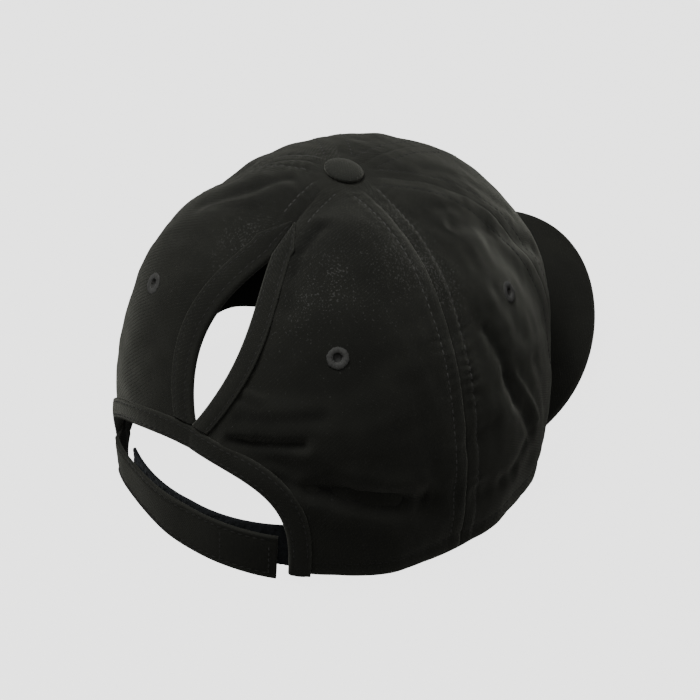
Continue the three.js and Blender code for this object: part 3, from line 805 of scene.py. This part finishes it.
# Where fibres cling to the cloth: turn, drop and the span of each
fluffPlaces = (
    (28.0, 0.34, 24.0, 0.2), (56.0, 0.27, 26.0, 0.2),
    (76.0, 0.3, 15.0, 0.3), (-14.0, 0.3, 12.0, 0.12),
)
eyeletPlaces = {
    "back_right": (36.9, 0.54), "back_left": (-34.0, 0.56),
    "side_right": (106.5, 0.54), "side_left": (-108.0, 0.56),
}


def acrossAndDrop(columns, rows):
    across = shares(columns)[:, None]
    down = shares(rows, panel["edgeRow"])[None, :] ** panel["crowding"]
    return across, lerp(crown["topDrop"], 1.0, down) + 0 * across


def panelGrid(fromTurn, toTurn, columns, rows):
    across, drop = acrossAndDrop(columns, rows)
    lap = panel["overlap"] * turnsPerLength(drop)
    return lerp(fromTurn - lap, toTurn + lap, across), drop


def backPanelGrid(side):
    # columns run from the slot's edge to the side seam
    across, drop = acrossAndDrop(panel["columns"], panel["rows"])
    opened = smooth(slotHalfWidth(drop) / panel["slotGap"])
    gap = slotHalfWidth(drop) + lerp(-panel["overlap"], panel["slotGap"], opened)
    inner = slotMiddle(drop) + side * gap * turnsPerLength(drop)
    outer = side * (crown["sideSeam"] + panel["overlap"] * turnsPerLength(drop))
    return lerp(inner, outer, across), drop


def panelWearAndRidgeHighlight(turn, drop, aboveHem, folded):
    # paler along the hem and beside the seams from wear, and paler on the ridges of the folds as a
    # painted highlight
    wear = bell(aboveHem / panel["hemWear"])
    for seam, show in zip(seamTurns, seamShow):
        away = np.abs(seamDistance(turn, drop, seam))
        for strength, place, width in panel["seamWear"]:
            wear = np.maximum(wear, strength * show * bell((away - place) / width))
    # painted highlight: the fold ridges turn paler as they rise
    return np.maximum(wear, np.clip(folded / panel["ridgeHighlight"], 0, panel["ridgeHighlightMost"]))


def panelFluff(turn, drop):
    fluff = np.zeros(turn.shape)
    for middleTurn, middleDrop, turnSpan, dropSpan in fluffPlaces:
        sideways = nearTurn(turn - middleTurn) / turnSpan
        fluff = np.maximum(fluff, bell(np.hypot(sideways, (drop - middleDrop) / dropSpan)))
    return fluff


def makePanel(part, word, grid, centre):
    turn, drop = grid
    hole = eyeletPlaces.get(f"{part}_{word}")
    aboveHem = (1 - drop) * crown["meridian"]
    rounded = roundedOff(aboveHem, panel["edgeRound"])
    outer = sewnPoint(turn, drop, -rounded)
    inner = crownPoint(turn, drop, -crown["cloth"] + rounded)
    uv = np.stack([nearTurn(turn - centre) / turnsPerLength(drop), drop * crown["meridian"]], -1)
    cellTurn, cellDrop = turn[:-1, :-1], (drop[:-1, :-1] + drop[1:, 1:]) / 2
    archDrop = dropAtHeight(cellTurn, archTop(cellTurn, panel["underBinding"]))
    keep = (cellDrop < archDrop) | (archTop(cellTurn, panel["underBinding"]) <= hemHeight(cellTurn))
    if hole:
        middle = outer[:-1, :-1] + outer[1:, 1:]
        spot = skinPoint(*np.array(hole))
        keep &= np.linalg.norm(middle / 2 - spot, axis=-1) > panel["holeRadius"]
    piece = shell(f"{part}_{word}_cloth", outer, inner, uv, keep)
    folded = alongRows(nearTurn(turn), drop, creases, panel["ridgeShare"])
    folded = folded + panel["foldShare"] * alongRows(nearTurn(turn), drop, folds)
    for name, values in (
        ("wear", panelWearAndRidgeHighlight(turn, drop, aboveHem, folded)),
        # sunk marks the creases for painted shade
        ("sunk", np.clip(-folded / panel["creaseShadeDepth"], 0, 1)),
        ("fluff", panelFluff(turn, drop)),
    ):
        markPoints(piece, name, np.concatenate([values.ravel(), 0 * values.ravel()]))
    return finishPiece(piece, panelTwill, "twill", f"panel_{part}_{word}")


for word, side in (("right", 1), ("left", -1)):
    makePanel("back", word, backPanelGrid(side), side * panel["backCentre"])
    for part, seams, columns, rows in (
        ("side", (crown["sideSeam"], crown["frontSeam"]), panel["columns"], panel["rows"]),
        ("front", (crown["frontSeam"], 180.0), panel["frontColumns"], panel["frontRows"]),
    ):
        turns = sorted(side * seam for seam in seams)
        makePanel(part, word, panelGrid(*turns, columns, rows), sum(turns) / 2)
print("crown panels ready")


def crownRow(turns, drops):
    # a row of stitches on the crown, with the way that they face
    facingWay = outwardAt(skinPoint, turns, drops, sewing["turnStep"], sewing["dropStep"])
    return sewnPoint(turns, drops, 0), facingWay


def seamPair(middle, drops):
    # two rows of stitches, one on each side of a seam
    aside = sewing["bandHalf"] * turnsPerLength(drops)
    return [crownRow(middle + edge * aside, drops) for edge in (-1, 1)]


drops = np.linspace(sewing["fromDrop"], sewing["toDrop"], 500)
pairs = [seamPair(seam, drops) for seam in seamTurns]
topDrops = np.linspace(sewing["fromDrop"], sewing["topToDrop"], 80)
topPair = seamPair(slotMiddle(topDrops), topDrops)
sewRows("seam_stitching", pairs[1] + pairs[2] + topPair, blackThread)
sewRows("front_seam_stitching", pairs[0] + pairs[3] + pairs[4], darkThread)
hemTurns = np.linspace(sewing["hemFrom"], sewing["hemTo"], 1600)
hemDrops = np.full_like(hemTurns, 1 - sewing["hemRow"] / crown["meridian"])
sewRows("hem_stitching", [crownRow(hemTurns, hemDrops)], darkThread)
print("crown stitching ready")


# Facings of the slot, and the binding of the arch
trim = {"thick": 1.0, "out": 0.85, "lining": 7.0, "dent": 0.16, "dentWidth": 0.8, "puff": 0.3,
        "pucker": 0.03, "fold": 0.9, "inside": -0.9}
facing = {"top": 0.208, "width": 9.3, "topSpan": 0.09, "topWidth": 0.1, "rows": (1.9, 7.6),
          "steps": 220, "length": 90, "least": 0.2, "leastReach": 0.06}
arch = {"width": 9.0, "rows": (1.9, 7.4), "steps": 330, "length": 190, "clear": 0.1}


def trimRelief(across, length, look):
    # stitch rows pull a band down, and it puffs and puckers between them
    total = 0
    for row in look["rows"]:
        total = total - trim["dent"] * bell((across - row) / trim["dentWidth"])
    between = np.sin(math.pi * np.clip(across / look["width"], 0, 1))
    ripples = np.sin(2 * math.pi * length * look["length"] / thread["pitch"])
    return total + trim["puff"] * between + trim["pucker"] * ripples * between


def facingPoint(side, across, out, along):
    low = slotShape["foot"]
    aside = side * np.clip(across / facing["width"], 0, 1) * facing["width"]
    turn = slotMiddle(low) + aside * turnsPerLength(low)
    foot = dropAtHeight(turn, archTop(turn, arch["width"] + arch["clear"]))
    drop = lerp(facing["top"], foot, along)
    closing = np.minimum(1, (drop - facing["top"]) / facing["topSpan"] + facing["topWidth"])
    reach = np.maximum(slotHalfWidth(drop), facing["least"]) + across * closing
    reach = np.maximum(facing["leastReach"], reach)
    turn = slotMiddle(drop) + side * reach * turnsPerLength(drop)
    extra = trimRelief(across, along, facing)
    return crownPoint(turn, drop, out + np.where(out > 0, extra, 0))


def bindingPoint(across, out, along):
    swing = np.sin((along - 0.5) * math.pi)
    turn = archShape["middle"] + swing * archSpan(swing, across)
    height = np.maximum(hemHeight(turn), archTop(turn, across))
    extra = trimRelief(across, along, arch)
    return wallPoint(turn, height, out + np.where(out > 0, extra, 0))


def makeTrim(name, node, place, look, along):
    # one band with paler folded edges, and its rows of stitches on top
    profile = wrappedBand(look["width"], trim["thick"], trim["out"], trim["lining"])
    piece = sweep(name, profile, place, look["steps"])
    across, out = profile.T
    wear = np.maximum(bell(across / trim["fold"]), bell((across - look["width"]) / trim["fold"]))
    markPoints(piece, "wear", np.tile(wear * (out > trim["inside"]), look["steps"]))
    finishPiece(piece, trimTwill, "facing_twill", node)
    top = trim["out"] + trim["thick"] / 2
    face = lambda a, b: place(a, np.full_like(a, top), b)
    return rowsAlong(face, look["rows"], along, (0.1, 0.002))


facingRows = []
for word, side in (("right", 1), ("left", -1)):
    facingRows += makeTrim(f"slot_{word}_facing", f"slot_facing_{word}",
                           lambda a, o, t, s=side: facingPoint(s, a, o, t), facing,
                           np.linspace(0.03, 0.985, 400))
sewRows("facing_stitching", facingRows, darkThread)
bindingRows = makeTrim("arch_edge_binding", "arch_binding", bindingPoint, arch,
                       np.linspace(0.02, 0.98, 900))
sewRows("binding_stitching", bindingRows, darkThread)
print("facings and binding ready")


# Straps: across is the share of the strap's height
outerStrap = {
    "thick": 1.4, "height": 19.5, "rise": 6.0, "endTurn": 25.0, "inset": 0.2, "bow": 1.4,
    "tuck": 4.5, "tucked": 2.1, "stepStart": 1.3, "outward": 2.2, "outwardAt": 0.19,
    "outwardSpan": 0.13, "rows": (0.11, 0.89), "dent": 0.28, "dentWidth": 0.9, "puff": 0.15,
    "wave": 0.1, "waveSize": 16.0, "edgeWear": 0.05, "crossRows": (0.975, 0.8), "steps": 200,
}
innerStrap = {
    "thick": 1.4, "foot": 4.6, "height": 19.6, "rise": 6.0, "sag": 2.2, "endTurn": -31.0,
    "gap": 0.6, "nap": 0.12, "napSize": 2.6, "steps": 200,
}


def ripples(turn, across, size, seed):
    # unevenness over a band's own flat coordinates
    return softNoise(stacked(turn, across, 0 * turn), size, seed)


def outerStrapPoint(across, out, along):
    foot = archShape["middle"] - archShape["left"]
    turn = lerp(foot - outerStrap["tuck"], outerStrap["endTurn"], along)
    tall = outerStrap["height"] + (along - 0.5) * outerStrap["rise"]
    step = smooth((turn - foot - outerStrap["stepStart"] * outerStrap["tuck"]) / outerStrap["tuck"])
    bowed = outerStrap["inset"] + outerStrap["bow"] * np.sin(math.pi * along)
    swing = (along - outerStrap["outwardAt"]) / outerStrap["outwardSpan"]
    bowed = bowed - outerStrap["outward"] * bell(swing)
    inset = lerp(outerStrap["tucked"], bowed, step)
    dents = sum(outerStrap["dent"] * bell((across - row) * tall / outerStrap["dentWidth"])
                for row in outerStrap["rows"])
    waves = outerStrap["wave"] * ripples(turn, across * 12, outerStrap["waveSize"], 31)
    front = np.where(out > 0, waves - dents + outerStrap["puff"], 0)
    return wallPoint(turn, across * tall, out - inset - outerStrap["thick"] / 2 + front)


def innerStrapPoint(across, out, along):
    start = archShape["middle"] + archShape["right"] + outerStrap["tuck"]
    turn = lerp(innerStrap["endTurn"], start, along)
    tall = innerStrap["height"] + (along - 0.5) * innerStrap["rise"]
    tall = tall - innerStrap["sag"] * np.sin(along * math.pi)
    inset = outerStrap["inset"] + outerStrap["bow"] + outerStrap["thick"] + innerStrap["gap"]
    nap = innerStrap["nap"] * ripples(turn * 1.6, across * 20, innerStrap["napSize"], 32)
    return wallPoint(turn, innerStrap["foot"] + across * tall,
                     out - inset - innerStrap["thick"] / 2 + np.where(out > 0, nap, 0))


def strapProfile(thick, tall, count):
    profile = flatBand(0, tall, thick, 0, count)
    profile[:, 0] = np.clip(profile[:, 0] / tall, 0, 1)
    return profile


profile = strapProfile(outerStrap["thick"], outerStrap["height"], 44)
piece = sweep("outer_strap_cloth", profile, outerStrapPoint, outerStrap["steps"])
wear = bell(np.minimum(profile[:, 0], 1 - profile[:, 0]) / outerStrap["edgeWear"])
markPoints(piece, "wear", np.tile(wear, outerStrap["steps"]))
finishPiece(piece, strapTwill, "strap_twill", "strap_outer")
piece = sweep("inner_strap_loops", strapProfile(innerStrap["thick"], innerStrap["height"], 36),
              innerStrapPoint, innerStrap["steps"])
finishPiece(piece, loopPile, "loop_tape", "strap_inner")



def strapFace(across, along):
    return outerStrapPoint(across, np.full_like(across, outerStrap["thick"] / 2), along)


steps = (0.01, 0.002)
strapRows = rowsAlong(strapFace, outerStrap["rows"], np.linspace(0.02, 0.975, 700), steps)
across = np.linspace(*outerStrap["rows"], 120)
for place in outerStrap["crossRows"]:
    there = np.full_like(across, place)
    strapRows.append((strapFace(across, there), outwardAt(strapFace, across, there, *steps)))
sewRows("strap_stitching", strapRows, darkThread)
print("straps ready")


# Sweatband
sweatband = {"height": 31.0, "thick": 1.2, "gap": 0.9, "clear": 1.0, "lift": 0.3, "wave": 0.3,
             "waveSize": 14.0, "edgeWear": 0.04, "rows": (0.06, 0.93), "steps": 320}


def sweatbandPoint(across, out, along):
    clear = outerStrap["tuck"] + sweatband["clear"]
    start = archShape["middle"] + archShape["right"] + clear
    end = 360 + archShape["middle"] - archShape["left"] - clear
    turn = lerp(start, end, along)
    near = nearTurn(turn)
    height = hemHeight(near) + sweatband["lift"] + across * sweatband["height"]
    inset = crown["cloth"] + sweatband["gap"] + sweatband["thick"] / 2
    waves = sweatband["wave"] * ripples(turn, across * 10, sweatband["waveSize"], 33)
    out = out - inset + waves * np.sin(math.pi * across)
    return crownPoint(turn, dropAtHeight(near, height), out)


def sweatbandFace(across, along):
    return sweatbandPoint(across, np.full_like(across, -sweatband["thick"] / 2), along)


profile = strapProfile(sweatband["thick"], sweatband["height"], 40)
piece = sweep("sweatband_cloth", profile, sweatbandPoint, sweatband["steps"])
wear = bell((1 - profile[:, 0]) / sweatband["edgeWear"])
markPoints(piece, "wear", np.tile(wear, sweatband["steps"]))
finishPiece(piece, bandTwill, "sweatband_twill", "sweatband")
bandRows = rowsAlong(sweatbandFace, sweatband["rows"], np.linspace(0.01, 0.99, 1600),
                     (0.01, 0.001), side=-1)
sewRows("sweatband_stitching", bandRows, blackThread)
print("sweatband ready")


# Peak
peakCloth = {
    "columns": 240, "rows": 72, "round": 1.5, "edgeRow": 0.03, "tuck": 0.5, "waveFade": 6.0,
    "wave": 0.35, "waveSize": 60.0, "ripple": 0.08, "rippleSize": 14.0, "seamIn": 1.9,
    "seamDent": 0.3, "seamWidth": 0.7, "wearIn": 0.8, "wearWidth": 1.1,
}


def peakEdge(share):
    # half of a full, rounded ellipse from corner to corner
    angle = (share - 0.5) * math.pi
    across = np.sign(np.sin(angle)) * np.abs(np.sin(angle)) ** peakShape["roundness"]
    forward = np.maximum(0, np.cos(angle)) ** peakShape["roundness"]
    cornerY = crown["halfDepth"] * math.cos(peakShape["cornerTurn"] * degree)
    depth = crown["halfDepth"] + peakShape["length"] + cornerY
    return peakShape["halfWidth"] * across, cornerY - depth * forward


def makePeak():
    share = shares(peakCloth["columns"])[:, None]
    away = shares(peakCloth["rows"], peakCloth["edgeRow"])[None, :]
    turn = 180 + (share - 0.5) * 2 * (180 - peakShape["cornerTurn"])
    seat = crownPoint(turn, np.ones_like(turn), -peakCloth["tuck"])
    edgeX, edgeY = peakEdge(share)
    x = lerp(seat[..., 0], edgeX, away)
    y = lerp(seat[..., 1], edgeY, away)
    reach = np.hypot(seat[..., 0] - edgeX, seat[..., 1] - edgeY)
    fromEdge = reach * (1 - away)
    rounded = roundedOff(fromEdge, peakCloth["round"])
    spot = stacked(x, y, 0 * x)
    wave = (peakCloth["wave"] * softNoise(spot, peakCloth["waveSize"], 51)
            + peakCloth["ripple"] * softNoise(spot, peakCloth["rippleSize"], 52))
    # the seam near the edge sinks into the underside only
    dent = peakCloth["seamDent"] * bell((fromEdge - peakCloth["seamIn"]) / peakCloth["seamWidth"])
    half = peakShape["thickness"] / 2
    middle = sheetHeight(x, y) + wave * smooth(fromEdge / peakCloth["waveFade"])
    top = stacked(x, y, middle + half - rounded)
    under = stacked(x, y, middle - half + rounded + dent)
    piece = shell("peak_cloth", top, under, stacked(x, y))
    wear = bell((fromEdge - peakCloth["wearIn"]) / peakCloth["wearWidth"])
    markPoints(piece, "wear", np.concatenate([wear.ravel(), wear.ravel()]))
    return finishPiece(piece, peakTwill, "peak_twill", "peak")


makePeak()
print("peak ready")


# Button
button = {
    "radius": 7.9, "height": 3.9, "brow": 0.4, "rise": 0.16, "seat": -0.2, "pole": 0.002,
    "rimShare": 0.9, "shank": 2.0, "shankLength": 4.5, "sides": 120,
    "pleats": 26, "pleatDepth": 0.07, "pleatFrom": 0.72, "pleatSpan": 0.26, "pleatAbove": 0.3,
}


def lathe(name, profile, sides, place, ripple, ring=False):
    # turns a profile of (radius, height) about its own axis and ripples it; ring profiles close
    # on themselves, and others start and end on the axis
    turns = np.arange(sides)[:, None] * 2 * math.pi / sides
    radius, height = ripple(turns, *np.asarray(profile, float).T[:, None, :])
    points = stacked(radius * np.cos(turns), radius * np.sin(turns), height)
    count = points.shape[1]
    last = count if ring else count - 1
    i, j = np.meshgrid(np.arange(sides), np.arange(last), indexing="ij")
    a, b = i * count + j, ((i + 1) % sides) * count + j
    k = (j + 1) % count - j
    faces = np.stack([a, b, b + k, a + k], -1).reshape(-1, 4)
    return meshPiece(name, place(points.reshape(-1, 3)), faces, points[..., :2])


def onAxis(spot, way):
    # moves points from the z axis to an axis through spot along way
    turn = np.array(Vector((0, 0, 1)).rotation_difference(Vector(way)).to_matrix())
    return lambda points: points @ turn.T + np.asarray(spot)


def buttonProfile():
    brow, low = button["height"] * button["brow"], button["rise"] * button["height"]
    dome = [(button["radius"] * math.cos(t), brow + (button["height"] - brow) * math.sin(t))
            for t in np.linspace(0, math.pi / 2, 26)]
    dome[-1] = (button["pole"], button["height"])
    rim = [(button["radius"] * lerp(button["rimShare"], 1, math.sin(t)),
            low + (brow - low) * (1 - math.cos(t))) for t in np.linspace(0, math.pi / 2, 8)[:-1]]
    return [(button["pole"], -button["shankLength"]), (button["shank"], -button["shankLength"]),
            (button["shank"], low), *rim, *dome]


def pleated(turns, radius, height):
    # cloth drawn under the rim gathers in small pleats that fade out up the dome
    share = smooth((radius / button["radius"] - button["pleatFrom"]) / button["pleatSpan"])
    share = share * (height > button["pleatAbove"])
    wave = np.sin(button["pleats"] * turns + 1.3 * np.sin(3 * turns)) * share
    return radius + button["pleatDepth"] * wave, height + 0.5 * button["pleatDepth"] * wave


apexWay = Vector((-crown["apexSlope"] * math.sin(crown["apexTurn"] * degree),
                  crown["apexSlope"] * math.cos(crown["apexTurn"] * degree), 1)).normalized()
apex = crownPoint(np.array(0.0), np.array(0.0001), 0) + button["seat"] * np.array(apexWay)
piece = lathe("button_cloth", buttonProfile(), button["sides"], onAxis(apex, apexWay), pleated)
# painted highlight: the button takes the paler cloth
finishPiece(piece, buttonHighlightTwill, "button_twill", "button")
print("button ready")


# Eyelets
eyelet = {
    "radius": 4.1, "hole": 1.9, "rise": 0.65, "inner": 3.9, "neck": 0.05, "pit": 2.2, "sunk": 0.1,
    "shaft": 2.4, "threads": 30, "threadDepth": 0.2, "threadRim": 3.6, "threadRimSpan": 0.5,
    "threadReach": 0.35, "threadAbove": 0.05, "sides": 240,
}


def eyeletProfile():
    # outside ring, hole, inside ring and back through the cloth
    hole, inner, neck, pit = (eyelet[key] for key in ("hole", "inner", "neck", "pit"))
    middle, half = (eyelet["radius"] + hole) / 2, (eyelet["radius"] - hole) / 2
    outside = [(middle + half * math.cos(t), eyelet["rise"] * math.sin(t) ** 0.7 - eyelet["sunk"])
               for t in np.linspace(0, math.pi, 15)]
    foot, under = -crown["cloth"] - eyelet["sunk"], -pit - 0.5
    return outside + [
        (hole * 0.95, -1.0), (hole * 0.8, -pit * 0.9), (hole * 0.4, -pit), (neck, -pit),
        (neck, under), (hole, under), (inner * 0.8, foot - 0.5), (inner, foot - 0.2),
        (inner, foot), (eyelet["shaft"], foot), (eyelet["shaft"], -eyelet["sunk"]),
    ]


def threaded(turns, radius, height):
    # close satin stitches run from the hole to the rim
    ridge = np.abs(np.sin(eyelet["threads"] * turns)) ** 0.6
    uneven = 0.3 + 0.7 * np.abs(np.sin(turns * 7 + 1.1)) * np.abs(np.sin(turns * 3 + 0.4))
    lift = eyelet["threadDepth"] * (ridge * uneven - 0.5) * (height > eyelet["threadAbove"])
    outer = smooth((radius - eyelet["threadRim"]) / eyelet["threadRimSpan"])
    outer = outer * eyelet["threadReach"] * ridge * uneven
    return radius + outer, height + lift


for word, (turn, drop) in eyeletPlaces.items():
    at, there = np.array([turn]), np.array([drop])
    spot = crownPoint(at, there, sewnRelief(at, there))[0]
    way = outwardAt(skinPoint, at, there, 1.0, 0.01)[0]
    piece = lathe(f"eyelet_{word}_thread", eyeletProfile(), eyelet["sides"],
                  onAxis(spot, way), threaded, ring=True)
    finishPiece(piece, eyeletThread, "eyelet_thread", f"eyelet_{word}")
print("eyelets ready")


# Floor, light and camera
studio = {
    "floor": (0.80, 0.80, 0.795), "shade": 0.12, "glow": 3.3, "reach": 6.0, "world": 0.1,
    "sky": (1.0, 0.995, 0.985), "lightAim": (0, 0.02, 0.06),
}
# Lamps: steps right, up and back from the aim in metres, size and power
lamps = {
    "key": (-0.36, 0.9, 0.85, 0.5, 9.6),
    "top": (0.1, 1.25, 0.1, 1.0, 0.3),
    "left": (-1.1, 0.2, -0.35, 0.8, 0.2),
    "fill": (-0.05, 0.38, 1.2, 0.9, 4.0),
    "right": (0.86, 0.9, 0.35, 0.8, 0.9),
}


def makeFloor():
    far, shade = studio["reach"], studio["shade"]
    mesh = bpy.data.meshes.new("floor")
    corners = [(-far, -far, 0), (far, -far, 0), (far, far, 0), (-far, far, 0)]
    mesh.from_pydata(corners, [], [(0, 1, 2, 3)])
    floor = addObject("floor", mesh)
    mesh.materials.append(Finish("pale_floor").dress({
        "Base Color": (shade, shade, shade, 1), "Roughness": 0.9,
        "Emission Color": (*studio["floor"], 1), "Emission Strength": studio["glow"],
    }))
    floor.visible_diffuse = False
    floor.visible_glossy = False


view = {
    "azimuth": 33.5, "elevation": 35.2, "roll": 4.3, "focal": 2190.0, "centre": (341.0, 332.0),
    "distance": 0.9, "aim": (0.0, 0.0, 0.055), "frame": 700.0, "sensor": 36.0, "reach": 50,
}


def viewAxes():
    azimuth, elevation = view["azimuth"] * degree, view["elevation"] * degree
    level = math.cos(elevation)
    back = Vector((-math.sin(azimuth) * level, math.cos(azimuth) * level, math.sin(elevation)))
    right = (-back).cross(Vector((0, 0, 1))).normalized()
    up = right.cross(-back)
    cosine, sine = math.cos(view["roll"] * degree), math.sin(view["roll"] * degree)
    return right * cosine + up * sine, up * cosine - right * sine, back


def makeCamera():
    right, up, back = viewAxes()
    aim = Vector(view["aim"]) + Vector(shift) * millimetre
    turn = Matrix((right, up, back)).transposed().to_4x4()
    camera = addObject("camera", bpy.data.cameras.new("camera"))
    camera.matrix_world = Matrix.Translation(aim + back * view["distance"]) @ turn
    camera.data.sensor_width = view["sensor"]
    camera.data.sensor_fit = "HORIZONTAL"
    camera.data.lens = view["focal"] / view["frame"] * view["sensor"]
    camera.data.shift_x = (view["frame"] / 2 - view["centre"][0]) / view["frame"]
    camera.data.shift_y = (view["centre"][1] - view["frame"] / 2) / view["frame"]
    camera.data.clip_end = view["reach"]
    bpy.context.scene.camera = camera


def makeLight(name, place, size, power):
    light = bpy.data.lights.new(name, "AREA")
    light.shape = "DISK"
    light.size = size
    light.energy = power
    lamp = addObject(name, light)
    turn = (place - Vector(studio["lightAim"])).to_track_quat("Z", "Y").to_matrix().to_4x4()
    lamp.matrix_world = Matrix.Translation(place) @ turn


def makeWorld():
    world = bpy.data.worlds.new("studio")
    world.use_nodes = True
    sky = world.node_tree.nodes["Background"]
    sky.inputs["Color"].default_value = (*studio["sky"], 1)
    sky.inputs["Strength"].default_value = studio["world"]
    bpy.context.scene.world = world


makeFloor()
makeCamera()
makeWorld()
right, up, back = viewAxes()
for name, (aside, above, behind, size, power) in lamps.items():
    makeLight(name, right * aside + up * above + back * behind, size, power)
print("studio ready")
